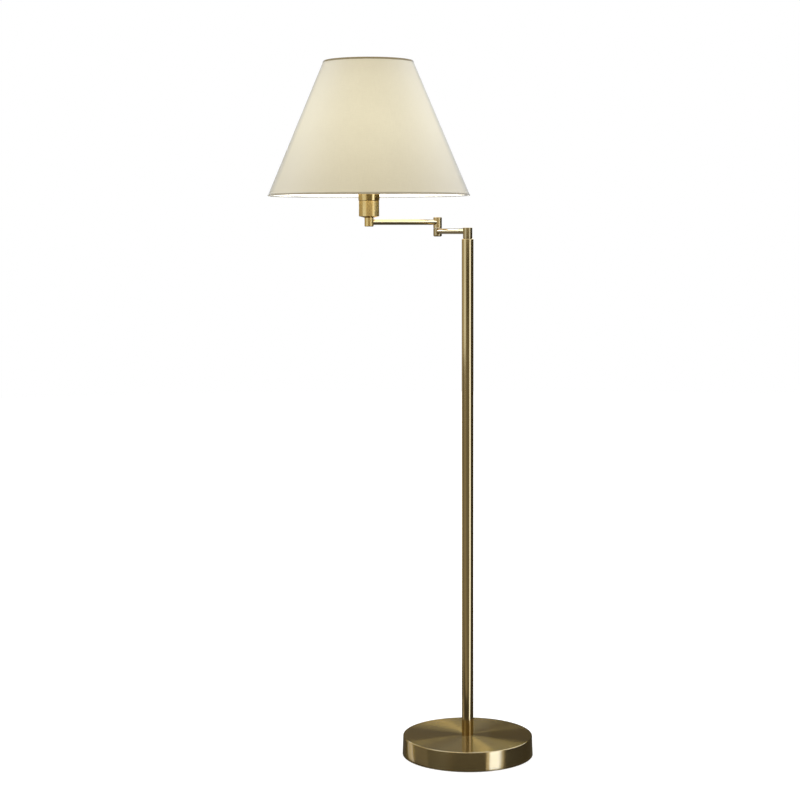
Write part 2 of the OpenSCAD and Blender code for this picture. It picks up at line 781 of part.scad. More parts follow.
// Two-pole block that joins the mains lead to the lamp's own lead
module terminal_block() {
    color([0.9, 0.9, 0.88])
        difference() {
            translate([-block_w / 2, block_y, block_top - block_h]) cube([block_w, block_l, block_h]);
            for (x = [-1, 1])
                translate([x * wire_pitch / 2, block_y - CUT, lead_z])
                    rotate([-90, 0, 0])
                        cylinder(d = wire_hole, h = block_l + 2 * CUT);
            at_block_screws()
                translate([0, 0, -CUT])
                    cylinder(r = block_screw_dia / 2 + fixed_gap, h = block_entry_h + CUT);
            block_fixing(fixing_dia / 2 + free_gap / 2, block_top + CUT);
        }
}

// Four grub screws in the terminal block
module terminal_screws() {
    color(BRIGHT_BRASS)
        at_block_screws()
            difference() {
                cylinder(d = block_screw_dia, h = block_screw_l);
                driver_slot(block_screw_dia, 0);
            }
}

// Screw that holds the terminal block up against the weight
module block_fixing_screw() {
    r = fixing_dia / 2;
    head_r = fixing_head_dia / 2;
    under_z = block_top - block_h;
    head_z = under_z - fixing_head_h;
    color(STEEL)
        translate([0, block_y + block_l / 2, 0])
            difference() {
                spun([
                    [0, head_z], [head_r - fixing_head_h / 2, head_z],
                    [head_r, head_z + fixing_head_h / 2], [head_r, under_z], [r, under_z],
                    [r, block_top + fixing_grip], [0, block_top + fixing_grip]
                ]);
                driver_slot(fixing_head_dia, head_z);
            }
}

// ---------------------------------------------------------------- the pole

// Threaded plug fixed in the pole's foot
module pole_foot_plug() {
    color(STEEL) ring(pole_bore_r - fixed_gap, stud_dia / 2 + fixed_gap, base_h, foot_plug_h);
}

// The pole's tube, square on the base
module pole_tube() {
    color(BRASS) ring(pole_dia / 2, pole_bore_r, base_h, pole_len);
}

// Turned cap in the pole's top, which carries the shoulder's pivot
module pole_top_cap() {
    r = pole_dia / 2;
    spigot_r = pole_bore_r - fixed_gap;
    hole_r = pivot_r + fixed_gap;
    color(BRASS)
        difference() {
            spun(concat(
                [[hole_r, pole_tube_top - cap_spigot_h], [spigot_r, pole_tube_top - cap_spigot_h]],
                [[spigot_r, pole_tube_top], [r, pole_tube_top]],
                arc([r - cap_edge_r, pole_top - cap_edge_r], cap_edge_r, 0, 90),
                [[hole_r, pole_top]]
            ));
            stop_pin_hole(pole_top, shoulder_pin_at);
        }
}

// Lead from the terminal block, up the pole to the top of the shoulder's pivot
module pole_lead() {
    color(BLACK)
        rotate([0, 0, 90]) {
            level_rod(lead_dia / 2, lead_z, 0, foot_bend, block_y);
            lead_elbow(lead_z, foot_bend, true);
            lead_rise(lead_z + foot_bend, shoulder_pivot_top);
        }
}

// ---------------------------------------------------------------- the shoulder's fixed side

// Hollow pivot, threaded into the pole's cap
module shoulder_pivot() {
    foot = pole_tube_top - cap_spigot_h;
    color(STEEL) ring(pivot_r, pivot_bore_r, foot, shoulder_pivot_top - foot);
}

// Friction washer between the pole's cap and the shoulder barrel
module shoulder_washer() {
    color(BRASS)
        friction_washer(shoulder_dia, pole_top, shoulder_washer_t, shoulder_pin_at);
}

// Pin that ends the shoulder's swing
module shoulder_stop_pin() {
    color(STEEL) stop_pin(pole_top, shoulder_washer_t, shoulder_pin_at);
}

// Spring washer that keeps the shoulder firm
module shoulder_spring_washer() {
    color(STEEL) cone_spring(shoulder_z + barrel_floor);
}

// Nut that sets the shoulder's friction
module shoulder_ring_nut() {
    color(BRIGHT_BRASS) ring_nut(shoulder_nut_z);
}

// ---------------------------------------------------------------- the lower arm

// Barrel that turns on the pole's top
module shoulder_barrel() {
    color(BRASS)
        turning_barrel(
            shoulder_dia, shoulder_z, shoulder_barrel_top, lower_arm_z, lower_angle,
            shoulder_web_at, shoulder_travel
        );
}

// Plug in the top of the shoulder barrel
module shoulder_end_cap() {
    color(BRASS) barrel_end_cap(shoulder_dia, shoulder_barrel_top + end_flange_t);
}

// Tube of the lower arm
module lower_arm_tube() {
    color(BRASS)
        arm_tube(
            lower_arm_z, lower_angle, shoulder_dia / 2 - barrel_wall, elbow_dia / 2 - barrel_wall,
            lower_reach
        );
}

// Lead from the shoulder's pivot, through the lower arm, to the top of the elbow's pivot
module lower_arm_lead() {
    color(BLACK)
        arm_lead(lower_arm_z, lower_angle, lower_reach, shoulder_pivot_top, elbow_pivot_top);
}

// Fixed lower half of the elbow, closed above by a roof that carries the pivot
module elbow_lower_barrel() {
    r = elbow_dia / 2;
    cavity_r = r - barrel_wall;
    hole_r = pivot_r + fixed_gap;
    color(BRASS)
        at_elbow()
            difference() {
                spun([
                    [cavity_r, elbow_barrel_z], [r, elbow_barrel_z], [r, elbow_split_z],
                    [hole_r, elbow_split_z], [hole_r, elbow_roof_z], [cavity_r, elbow_roof_z]
                ]);
                level_rod(
                    arm_r + fixed_gap, lower_arm_z, lower_angle + 180, socket_start(cavity_r), r + CUT
                );
                stop_pin_hole(elbow_split_z, elbow_pin_at);
            }
}

// Rounded plug under the elbow
module elbow_bottom_cap() {
    r = elbow_dia / 2;
    spigot_r = r - barrel_wall - fixed_gap;
    bottom = elbow_barrel_z - elbow_dome_h;
    color(BRASS)
        at_elbow()
            spun(concat(
                [[0, bottom]],
                arc([r - elbow_dome_r, bottom + elbow_dome_r], elbow_dome_r, -90, 0),
                [[r, elbow_barrel_z], [spigot_r, elbow_barrel_z]],
                [[spigot_r, elbow_barrel_z + end_spigot_h], [0, elbow_barrel_z + end_spigot_h]]
            ));
}

// Hollow flanged pivot, held up by its flange under the lower barrel's roof
module elbow_pivot() {
    flange_r = pivot_flange_dia / 2;
    flange_z = elbow_roof_z - pivot_flange_t;
    color(STEEL)
        at_elbow()
            spun([
                [pivot_bore_r, flange_z], [flange_r, flange_z], [flange_r, elbow_roof_z],
                [pivot_r, elbow_roof_z], [pivot_r, elbow_pivot_top], [pivot_bore_r, elbow_pivot_top]
            ]);
}

// Friction washer between the elbow's two barrels
module elbow_washer() {
    color(NYLON) at_elbow() friction_washer(elbow_dia, elbow_split_z, elbow_washer_t, elbow_pin_at);
}

// Pin that ends the elbow's swing
module elbow_stop_pin() {
    color(STEEL) at_elbow() stop_pin(elbow_split_z, elbow_washer_t, elbow_pin_at);
}

// Spring washer that keeps the elbow firm
module elbow_spring_washer() {
    color(STEEL) at_elbow() cone_spring(elbow_z + barrel_floor);
}

// Nut that sets the elbow's friction
module elbow_ring_nut() {
    color(BRIGHT_BRASS) at_elbow() ring_nut(elbow_nut_z);
}

// ---------------------------------------------------------------- the upper arm

// Turning upper half of the elbow
module elbow_upper_barrel() {
    color(BRASS)
        at_elbow()
            turning_barrel(
                elbow_dia, elbow_z, elbow_barrel_top, upper_arm_z, upper_angle,
                elbow_web_at, elbow_travel
            );
}

// Plug in the top of the elbow
module elbow_end_cap() {
    color(BRASS) at_elbow() barrel_end_cap(elbow_dia, elbow_barrel_top + end_flange_t);
}

// Tube of the upper arm
module upper_arm_tube() {
    color(BRASS)
        at_elbow()
            arm_tube(
                upper_arm_z, upper_angle, elbow_dia / 2 - barrel_wall, stub_dia / 2 - barrel_wall,
                upper_reach
            );
}

// Lead from the elbow's pivot, through the upper arm, to the lampholder's body
module upper_arm_lead() {
    color(BLACK)
        at_elbow()
            arm_lead(
                upper_arm_z, upper_angle, upper_reach, elbow_pivot_top, core_z + core_inlet_h
            );
}

// Short barrel at the arm's end, with a threaded roof for the lampholder's nipple
module holder_stub() {
    r = stub_dia / 2;
    cavity_r = r - barrel_wall;
    hole_r = stud_dia / 2 + fixed_gap;
    color(BRASS)
        at_holder()
            difference() {
                spun([
                    [cavity_r, stub_z], [r, stub_z], [r, stub_top], [hole_r, stub_top],
                    [hole_r, stub_roof_z], [cavity_r, stub_roof_z]
                ]);
                level_rod(
                    arm_r + fixed_gap, upper_arm_z, upper_angle + 180, socket_start(cavity_r), r + CUT
                );
            }
}

// Chamfered plug under the stub
module stub_bottom_cap() {
    r = stub_dia / 2;
    spigot_r = r - barrel_wall - fixed_gap;
    bottom = stub_z - stub_cap_h;
    color(BRASS)
        at_holder()
            spun([
                [0, bottom], [r - stub_chamfer, bottom], [r, bottom + stub_chamfer], [r, stub_z],
                [spigot_r, stub_z], [spigot_r, stub_z + end_spigot_h], [0, stub_z + end_spigot_h]
            ]);
}

// ---------------------------------------------------------------- the lampholder

// Hollow nipple that ties the stub, the cup and the lampholder together
module holder_nipple() {
    foot = stub_top - nipple_grip;
    color(STEEL)
        at_holder() ring(stud_dia / 2, stud_bore / 2, foot, cup_floor_z + nipple_rise - foot);
}

// Spun cup round the lampholder: a cone bottom, a straight wall, a groove and a flared band
module holder_cup() {
    r = cup_dia / 2;
    rim_r = cup_rim_dia / 2;
    floor_r = cup_bottom_dia / 2;
    hole_r = stud_dia / 2 + free_gap;
    inner_floor_r = floor_r + cup_wall / 2;
    color(BRASS)
        at_holder()
            spun([
                [hole_r, stub_top], [floor_r, stub_top], [r, cup_side_z],
                [r, cup_band_z - cup_groove], [r - cup_groove, cup_band_z - cup_groove / 2],
                [r, cup_band_z], [r + cup_groove, cup_band_z + cup_groove],
                [rim_r, cup_top - cup_wall], [rim_r, cup_top], [rim_r - cup_wall, cup_top],
                [r + cup_groove - cup_wall, cup_band_z + cup_groove],
                [r - cup_groove - cup_wall / 2, cup_band_z], [r - cup_wall, cup_band_z - 2 * cup_groove],
                [r - cup_wall, cup_side_z + cup_wall], [inner_floor_r, cup_floor_z], [hole_r, cup_floor_z]
            ]);
}

// Thin nut that clamps the cup on the stub
module holder_nut() {
    color(STEEL)
        at_holder() hex_nut(holder_nut_af, stud_dia / 2 + fixed_gap, cup_floor_z, holder_nut_t);
}

// Places of the lampholder's two terminal screws
module at_holder_screws() {
    for (x = [-1, 1])
        translate([x * holder_screw_pitch / 2, 0, core_z]) children();
}

// Insulating body, which screws onto the nipple and carries the contacts
module lampholder_core() {
    color(BLACK)
        at_holder()
            difference() {
                translate([0, 0, core_z]) cylinder(d = core_dia, h = core_h);
                translate([0, 0, core_z - CUT])
                    cylinder(r = stud_dia / 2 + fixed_gap, h = core_inlet_h + CUT);
                at_holder_screws()
                    translate([0, 0, -CUT])
                        cylinder(
                            r = holder_screw_dia / 2 + fixed_gap, h = holder_screw_l + free_gap + CUT
                        );
            }
}

// Two screws that hold the lead's cores in the body
module holder_screws() {
    color(BRIGHT_BRASS)
        at_holder()
            at_holder_screws()
                difference() {
                    cylinder(d = holder_screw_dia, h = holder_screw_l);
                    driver_slot(holder_screw_dia, 0);
                }
}

// Outer sleeve, which grips the body and holds the screw shell
module lampholder_sleeve() {
    r = sleeve_dia / 2;
    seat_r = core_dia / 2 + fixed_gap;
    foot = core_z + sleeve_lift;
    edge = 1;
    color(BLACK)
        at_holder()
            spun([
                [seat_r, foot], [r, foot], [r, sleeve_top - edge], [r - edge, sleeve_top],
                [r - sleeve_wall, sleeve_top], [r - sleeve_wall, core_top], [seat_r, core_top]
            ]);
}

// Thread shell for the bulb's cap, standing on the body
module screw_shell() {
    color(BRIGHT_BRASS)
        at_holder()
            spun([
                [shell_hole / 2, core_top], [shell_r, core_top], [shell_r, core_top + shell_h],
                [shell_r - shell_t, core_top + shell_h], [shell_r - shell_t, core_top + shell_t],
                [shell_hole / 2, core_top + shell_t]
            ]);
}

// Bent strip that presses on the bulb's end contact
module middle_contact() {
    reach = shell_hole / 2 - free_gap - contact_w / 4;
    rise = bulb_z - core_top;
    leg = contact_t * 3 / 2;
    color(BRIGHT_BRASS)
        at_holder()
            translate([0, 0, core_top])
                rotate([90, 0, 0])
                    linear_extrude(height = contact_w, center = true)
                        polygon([
                            [-reach, 0], [reach / 2, 0], [reach / 2, contact_t], [leg - reach, contact_t],
                            [leg - contact_t, rise - contact_t], [reach / 2, rise - contact_t],
                            [reach / 2, rise], [-contact_t, rise], [-reach, contact_t]
                        ]);
}

// Ring that screws down on the fitter's hub, fluted for the fingers
module shade_ring() {
    r = shade_ring_dia / 2;
    edge = 0.8;
    inner_r = sleeve_dia / 2 + fixed_gap;
    color(BLACK)
        at_holder()
            difference() {
                spun([
                    [inner_r, hub_top], [r, hub_top], [r, hub_top + shade_ring_h - edge],
                    [r - edge, hub_top + shade_ring_h], [inner_r, hub_top + shade_ring_h]
                ]);
                for (i = [0:flute_count - 1])
                    rotate([0, 0, (i + 0.5) * 360 / flute_count])
                        translate([r + flute_dia / 4, 0, hub_top + hub_t])
                            cylinder(d = flute_dia, h = shade_ring_h);
            }
}

// ---------------------------------------------------------------- the bulb

// Screw cap of the bulb
module bulb_cap() {
    r = bulb_cap_dia / 2;
    throat_r = bulb_tip_dia / 2 + bulb_insulator_h / 2;
    color(STEEL)
        at_holder()
            spun([
                [throat_r, bulb_cap_z], [r, bulb_cap_z], [r, bulb_cap_top], [r - bulb_cap_t, bulb_cap_top],
                [r - bulb_cap_t, bulb_cap_z + bulb_cap_t], [throat_r, bulb_cap_z + bulb_cap_t]
            ]);
}

// Black glass between the screw cap and the end contact
module bulb_insulator() {
    color(BLACK)
        at_holder()
            spun([
                [0, bulb_insulator_z], [bulb_tip_dia / 2, bulb_insulator_z],
                [bulb_cap_dia / 2 - bulb_cap_t, bulb_cap_z], [0, bulb_cap_z]
            ]);
}

// End contact of the bulb
module bulb_tip() {
    tip_r = bulb_tip_dia / 2;
    color(STEEL)
        at_holder()
            spun([
                [0, bulb_z], [tip_r - bulb_tip_h / 2, bulb_z], [tip_r, bulb_insulator_z],
                [0, bulb_insulator_z]
            ]);
}

// Outline of the bulb's glass at a depth inside its outer face, from the neck up to the crown
function bulb_outline(depth) =
    let (
        ball_r = bulb_dia / 2 - depth,
        neck_r = bulb_cap_dia / 2 - bulb_cap_t - fixed_gap - depth,
        neck_z = bulb_cap_top,
        // The flank is the straight line from the neck that just touches the ball
        away = norm([neck_r, neck_z - bulb_centre_z]),
        tilt = atan2(neck_z - bulb_centre_z, neck_r),
        touch = tilt + acos(ball_r / away)
    )
    concat(
        [[neck_r, neck_z - bulb_neck_h], [neck_r, neck_z]],
        arc([0, bulb_centre_z], ball_r, touch, 90, BULB_STEPS)
    );

// Hollow glass of the bulb, with its neck in the screw cap
module bulb_glass() {
    outer = bulb_outline(0);
    inner = bulb_outline(bulb_wall);
    color([0.97, 0.95, 0.9])
        at_holder()
            spun(concat(outer, [for (i = [len(inner) - 1:-1:0]) inner[i]]));
}

// ---------------------------------------------------------------- the shade

// A wire ring that lies in the shade at a height
module wire_ring(z) {
    rotate_extrude() translate([shade_radius(z, wire_off), z]) circle(d = wire_dia);
}

// Hub, spokes and bottom ring, welded into one frame
module shade_fitter() {
    ring_z = shade_z + wire_lift;
    ring_r = shade_radius(ring_z, wire_off);
    root_r = shade_ring_dia / 2 + free_gap;
    root_z = cup_top + spoke_dia / 2;
    run = norm([ring_r - root_r, ring_z - root_z]);
    fall = atan2(root_z - ring_z, ring_r - root_r);
    color(FRAME_WHITE)
        at_holder() {
            ring(hub_dia / 2, sleeve_dia / 2 + free_gap, cup_top, hub_t);
            wire_ring(ring_z);
            for (i = [0:spoke_count - 1])
                rotate([0, 0, spoke_angle + i * 360 / spoke_count])
                    translate([root_r, 0, root_z])
                        rotate([0, 90 + fall, 0])
                            cylinder(d = spoke_dia, h = run);
        }
}

// Wire ring in the shade's top edge
module shade_top_ring() {
    color(FRAME_WHITE) at_holder() wire_ring(shade_top - wire_lift);
}

// A cone skin of the shade between two heights, at a level offset inside its outside
module shade_skin(off, t, from, to) {
    spun([
        [shade_radius(from, off), from], [shade_radius(to, off), to],
        [shade_radius(to, off + t * slant), to], [shade_radius(from, off + t * slant), from]
    ]);
}

// Fabric of the shade
module shade_cover() {
    color(IVORY) at_holder() shade_skin(0, cover_t, shade_z + hem_t, shade_top - hem_t);
}

// Stiff lining behind the fabric
module shade_liner() {
    color(FRAME_WHITE) at_holder() shade_skin(liner_off, liner_t, shade_z + hem_t, shade_top - hem_t);
}

// A tape folded over an edge of the shade: outside leg, turn and inside leg
module folded_hem(edge_z, up) {
    // Heights run into the shade from its edge
    turn_z = edge_z + up * hem_t;
    leg_z = edge_z + up * hem_h;
    outer = -(skin_gap + hem_t) * slant;
    inner = liner_off + (liner_t + skin_gap + hem_t) * slant;
    spun([
        [shade_radius(edge_z, outer), edge_z], [shade_radius(leg_z, outer), leg_z],
        [shade_radius(leg_z, outer + hem_t * slant), leg_z],
        [shade_radius(turn_z, outer + hem_t * slant), turn_z],
        [shade_radius(turn_z, inner - hem_t * slant), turn_z],
        [shade_radius(turn_z + up * hem_t, inner - hem_t * slant), turn_z + up * hem_t],
        [shade_radius(turn_z + up * hem_t, inner), turn_z + up * hem_t],
        [shade_radius(edge_z, inner), edge_z]
    ]);
}

// Hem over the shade's top edge
module shade_top_hem() {
    color(IVORY) at_holder() folded_hem(shade_top, -1);
}

// Hem over the shade's bottom edge
module shade_bottom_hem() {
    color(IVORY) at_holder() folded_hem(shade_z, 1);
}

base_cover();
base_weight();
base_felt();
cord_gland();
foot_stud();
foot_washer();
foot_nut();
terminal_block();
terminal_screws();
block_fixing_screw();
pole_foot_plug();
pole_tube();
pole_top_cap();
pole_lead();
shoulder_pivot();
shoulder_washer();
shoulder_stop_pin();
shoulder_spring_washer();
shoulder_ring_nut();
shoulder_barrel();
shoulder_end_cap();
lower_arm_tube();
lower_arm_lead();
elbow_lower_barrel();
elbow_bottom_cap();
elbow_pivot();
elbow_washer();
elbow_stop_pin();
elbow_spring_washer();
elbow_ring_nut();
elbow_upper_barrel();
elbow_end_cap();
upper_arm_tube();
upper_arm_lead();
holder_stub();
stub_bottom_cap();
holder_nipple();
holder_cup();
holder_nut();
lampholder_core();
holder_screws();
lampholder_sleeve();
screw_shell();
middle_contact();
shade_ring();
bulb_cap();
bulb_insulator();
bulb_tip();
bulb_glass();
shade_fitter();
shade_top_ring();
shade_cover();
shade_liner();
shade_top_hem();
shade_bottom_hem();
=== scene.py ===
"""Bridge floor lamp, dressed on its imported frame.

The stand, the two arms and the lampholder keep their solids and get their finishes here. The
shade's cloth, its bound edges, the felt under the base and the threaded pieces are made here in
full and take the place of their plain solids. All lengths are metres, in the frame's own axes.
"""

import json
import logging
import math
from collections.abc import Callable, Sequence
from dataclasses import dataclass, field
from enum import Enum

import bmesh
import bpy
from mathutils import Matrix, Vector, noise

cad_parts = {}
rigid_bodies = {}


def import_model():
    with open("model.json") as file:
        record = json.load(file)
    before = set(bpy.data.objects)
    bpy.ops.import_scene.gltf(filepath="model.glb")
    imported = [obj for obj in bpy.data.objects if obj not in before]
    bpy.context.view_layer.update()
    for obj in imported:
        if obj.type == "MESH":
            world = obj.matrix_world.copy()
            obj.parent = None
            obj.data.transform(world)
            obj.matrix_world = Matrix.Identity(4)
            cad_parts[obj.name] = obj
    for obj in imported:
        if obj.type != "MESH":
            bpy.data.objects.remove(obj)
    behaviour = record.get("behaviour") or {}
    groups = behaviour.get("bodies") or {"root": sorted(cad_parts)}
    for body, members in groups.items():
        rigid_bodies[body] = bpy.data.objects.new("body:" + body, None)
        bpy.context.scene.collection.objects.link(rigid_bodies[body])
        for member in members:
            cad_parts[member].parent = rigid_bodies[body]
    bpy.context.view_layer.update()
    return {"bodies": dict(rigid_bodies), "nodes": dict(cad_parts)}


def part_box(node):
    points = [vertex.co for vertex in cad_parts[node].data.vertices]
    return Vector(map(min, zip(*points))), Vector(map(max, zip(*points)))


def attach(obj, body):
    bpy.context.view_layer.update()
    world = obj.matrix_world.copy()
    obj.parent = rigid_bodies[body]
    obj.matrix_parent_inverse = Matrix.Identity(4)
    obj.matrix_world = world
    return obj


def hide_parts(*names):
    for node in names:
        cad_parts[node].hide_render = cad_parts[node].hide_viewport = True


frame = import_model()

log = logging.getLogger("floor_lamp")

MM = 0.001
TURN = 2 * math.pi
UP = Vector((0.0, 0.0, 1.0))
# Where the upright axes stand, as in the CAD model
POLE_AXIS = Vector((0.0, 0.0, 0.0))
ELBOW_AXIS = Vector((-66.43 * MM, 188.65 * MM, 0.0))
HOLDER_AXIS = Vector((-212.46 * MM, 51.99 * MM, 0.0))
# The bore that lets the lead through the hollow stud and nipple, as a radius
LEAD_BORE = 3.5 * MM

Colour = tuple[float, float, float]
Outline = list[tuple[float, float]]
Stops = Sequence[tuple[float, float]]
Faces = Sequence[Sequence[int]]
Shape = tuple[Sequence[Vector], Faces]
Socket = bpy.types.NodeSocket
Material = bpy.types.Material
Object = bpy.types.Object

WHITE = (1.0, 1.0, 1.0)


class Skin(Enum):
    """The surface of a moulded or cast piece: its grain's scale, depth and strength."""

    SMOOTH = (900.0, 0.01 * MM, 0.15)
    GRAINED = (1800.0, 0.03 * MM, 0.5)
    CAST = (520.0, 0.25 * MM, 0.9)


# ---- Materials ----


class Recipe:
    """A material or world in the making: its node tree, with short calls for what is shared."""

    def __init__(self, name: str, world: bool = False) -> None:
        """Starts a new material of that name, or a new world."""
        self.made = (bpy.data.worlds if world else bpy.data.materials).new(name)
        self.made.use_nodes = True
        self.tree = self.made.node_tree
        self.surface = self.tree.nodes["Background" if world else "Principled BSDF"]

    def feed(self, socket: Socket, value: object) -> None:
        """Links a socket to another one, or sets it to a plain value."""
        if isinstance(value, Socket):
            self.tree.links.new(value, socket)
        else:
            socket.default_value = value

    def dress(self, **values: object) -> None:
        """Sets the surface shader's sockets, named with _ for a space."""
        for name, value in values.items():
            if name.endswith(("Color", "Tint")) and isinstance(value, tuple):
                value = (*value, 1.0)
            self.feed(self.surface.inputs[name.replace("_", " ")], value)

    def node(self, kind: str, inputs: dict[str | int, object], **settings: object) -> bpy.types.Node:
        """Adds one node.

        Args:
            kind: The node's Blender type, without its ShaderNode prefix.
            inputs: Socket names or numbers with what each is fed.
            **settings: The node's own settings.

        Returns:
            The new node.
        """
        made = self.tree.nodes.new("ShaderNode" + kind)
        for name, value in settings.items():
            setattr(made, name, value)
        for name, value in inputs.items():
            self.feed(made.inputs[name], value)
        return made

    def place(self) -> Socket:
        """The point's own coordinates on the piece, which stay put when the piece moves."""
        return self.node("TexCoord", {}).outputs["Object"]

    def height(self) -> Socket:
        """The point's own height on the piece."""
        return self.node("SeparateXYZ", {0: self.place()}).outputs[2]

    def shown(self) -> Socket:
        """1 for what the camera sees straight, mirrored or through glass, and 0 for the rest."""
        path = self.node("LightPath", {})
        shown = path.outputs["Is Camera Ray"]
        for name in ("Is Glossy Ray", "Is Transmission Ray"):
            shown = self.sums("MAXIMUM", shown, path.outputs[name])
        return shown

    def sums(self, operation: str, first: object, second: object = 0.0) -> Socket:
        """One sum of two numbers, or of the first alone."""
        return self.node("Math", {0: first, 1: second}, operation=operation).outputs[0]

    def weigh(self, *parts: tuple[object, float]) -> Socket:
        """Adds up numbers, each given with its weight."""
        total, *others = [self.sums("MULTIPLY", value, weight) for value, weight in parts]
        for other in others:
            total = self.sums("ADD", total, other)
        return total

    def vectors(self, operation: str, first: object, second: object) -> bpy.types.Node:
        """One sum of two vectors."""
        return self.node("VectorMath", {0: first, 1: second}, operation=operation)

    def stretch(self, place: object, amount: object) -> Socket:
        """A vector times a number."""
        return self.node("VectorMath", {0: place, "Scale": amount}, operation="SCALE").outputs[0]

    def speckle(self, place: object, scale: float, detail: float = 3.0) -> Socket:
        """Soft noise between 0 and 1 at a place."""
        inputs = {"Vector": place, "Scale": scale, "Detail": detail}
        return self.node("TexNoise", inputs).outputs[0]

    def spread(
        self, value: object, low: float, high: float, to_low: float = 0.0, to_high: float = 1.0
    ) -> Socket:
        """A number moved from one range to another, without leaving the new one."""
        inputs = {0: value, 1: low, 2: high, 3: to_low, 4: to_high}
        return self.node("MapRange", inputs, clamp=True).outputs[0]

    def vary(self, value: object, low: float, high: float) -> Socket:
        """Noise, which seldom leaves 0.3 to 0.7, moved to between two numbers."""
        return self.spread(value, 0.3, 0.7, low, high)

    def blend(self, share: object, first: object, second: object) -> Socket:
        """A mix of two colours, each a tuple or a socket."""
        made = self.node("Mix", {0: share}, data_type="RGBA")
        for number, value in ((6, first), (7, second)):
            self.feed(made.inputs[number], (*value, 1.0) if isinstance(value, tuple) else value)
        return made.outputs[2]

    def ramp(self, value: object, stops: Stops) -> Socket:
        """A grey curve through stops of (position, level)."""
        made = self.node("ValToRGB", {0: value})
        band = made.color_ramp
        band.interpolation = "B_SPLINE"
        for position, _ in stops[2:]:
            band.elements.new(position)
        for element, (position, level) in zip(band.elements, sorted(stops)):
            element.position = position
            element.color = (level, level, level, 1.0)
        return made.outputs[0]

    def upward(self, foot: float, top: float, stops: Stops) -> Socket:
        """A curve that runs from one height of the piece (0) to another (1)."""
        return self.ramp(self.spread(self.height(), foot, top), stops)

    def relief(self, height: object, depth: float, strength: float) -> Socket:
        """A normal bent by a height between 0 and 1, of a depth in metres."""
        inputs = {"Height": height, "Distance": depth, "Strength": strength}
        return self.node("Bump", inputs).outputs[0]

    def round_axis(self, centre: Vector, axis: Vector) -> tuple[Socket, Socket, Socket]:
        """What marks round an axis need.

        Args:
            centre: A point on the axis.
            axis: The axis, one metre long.

        Returns:
            The outward direction, the distance walked over the outline, and the marks' direction
            in the world.
        """
        spot = self.vectors("SUBTRACT", self.place(), tuple(centre)).outputs[0]
        along = self.vectors("DOT_PRODUCT", spot, tuple(axis)).outputs[1]
        radial = self.vectors("SUBTRACT", spot, self.stretch(tuple(axis), along)).outputs[0]
        reach = self.node("VectorMath", {0: radial}, operation="LENGTH").outputs[1]
        outward = self.node("VectorMath", {0: radial}, operation="NORMALIZE").outputs[0]
        around = self.vectors("CROSS_PRODUCT", tuple(axis), outward).outputs[0]
        turn = {"vector_type": "VECTOR", "convert_from": "OBJECT", "convert_to": "WORLD"}
        world = self.node("VectorTransform", {0: around}, **turn).outputs[0]
        return outward, self.sums("SUBTRACT", reach, along), world


@dataclass(frozen=True)
class BrushedBrass:
    """Antique brass plate, brushed on the lathe and lacquered."""

    colour: Colour = (0.335, 0.237, 0.084)
    deep: Colour = (0.235, 0.155, 0.048)
    roughness: float = 0.11
    lengthwise: float = 0.3
    contrast: float = 0.1
    lines: float = 1500.0
    bands: float = 1500.0 / 9
    patches: float = 9.0
    edge: Colour = (0.8, 0.64, 0.36)
    lacquer: float = 0.35
    lacquer_ior: float = 1.6
    lacquer_roughness: float = 0.12

    def make(self, name: str, centre: Vector, axis: Vector = UP) -> Material:
        """The finish for pieces turned about one axis.

        Args:
            name: The material's name.
            centre: A point on the axis.
            axis: The axis, one metre long.

        Returns:
            The material.
        """
        mix = Recipe(name)
        outward, walked, around = mix.round_axis(centre, axis)

        def grooves(count: float, wander: float, detail: float) -> Socket:
            """Noise drawn out into grooves round the axis, so many to the metre."""
            drawn = mix.stretch(tuple(axis), mix.sums("MULTIPLY", walked, count))
            spot = mix.vectors("ADD", mix.stretch(outward, wander), drawn).outputs[0]
            return mix.speckle(spot, 1.0, detail)

        lines = grooves(self.lines, 2.4, 2.0)
        streaks = mix.weigh((lines, 0.6), (grooves(self.bands, 1.1, 3.0), 0.4))
        tone = mix.weigh((streaks, 0.62), (mix.speckle(mix.place(), self.patches, 5.0), 0.38))
        middle, half = 0.49, 0.13 / self.contrast
        swing = 0.05 * self.contrast
        mix.dress(
            Base_Color=mix.blend(mix.spread(tone, middle - half, middle + half), self.deep, self.colour),
            Metallic=1.0,
            Roughness=mix.vary(streaks, self.roughness + swing, self.roughness - swing),
            Anisotropic=self.lengthwise,
            Anisotropic_Rotation=0.25,
            Tangent=around,
            Normal=mix.relief(lines, 0.01 * MM, 0.35 * self.contrast),
            Specular_Tint=self.edge,
            Coat_Weight=self.lacquer,
            Coat_IOR=self.lacquer_ior,
            Coat_Roughness=self.lacquer_roughness,
        )
        return mix.made


@dataclass(frozen=True)
class PlainMetal:
    """A plated or rolled metal with fine marks and a little tarnish."""

    colour: Colour
    deep: Colour
    roughness: float
    patches: float = 60.0
    grain: float = 2600.0

    def make(self, name: str) -> Material:
        """The finish for a small metal piece.

        Args:
            name: The material's name.

        Returns:
            The material.
        """
        mix = Recipe(name)
        cloud = mix.speckle(mix.place(), self.patches, 4.0)
        grain = mix.speckle(mix.place(), self.grain, 2.0)
        mix.dress(
            Base_Color=mix.blend(mix.spread(cloud, 0.35, 0.65), self.deep, self.colour),
            Metallic=1.0,
            Roughness=mix.vary(grain, self.roughness - 0.05, self.roughness + 0.08),
            Normal=mix.relief(grain, 0.01 * MM, 0.4),
        )
        return mix.made


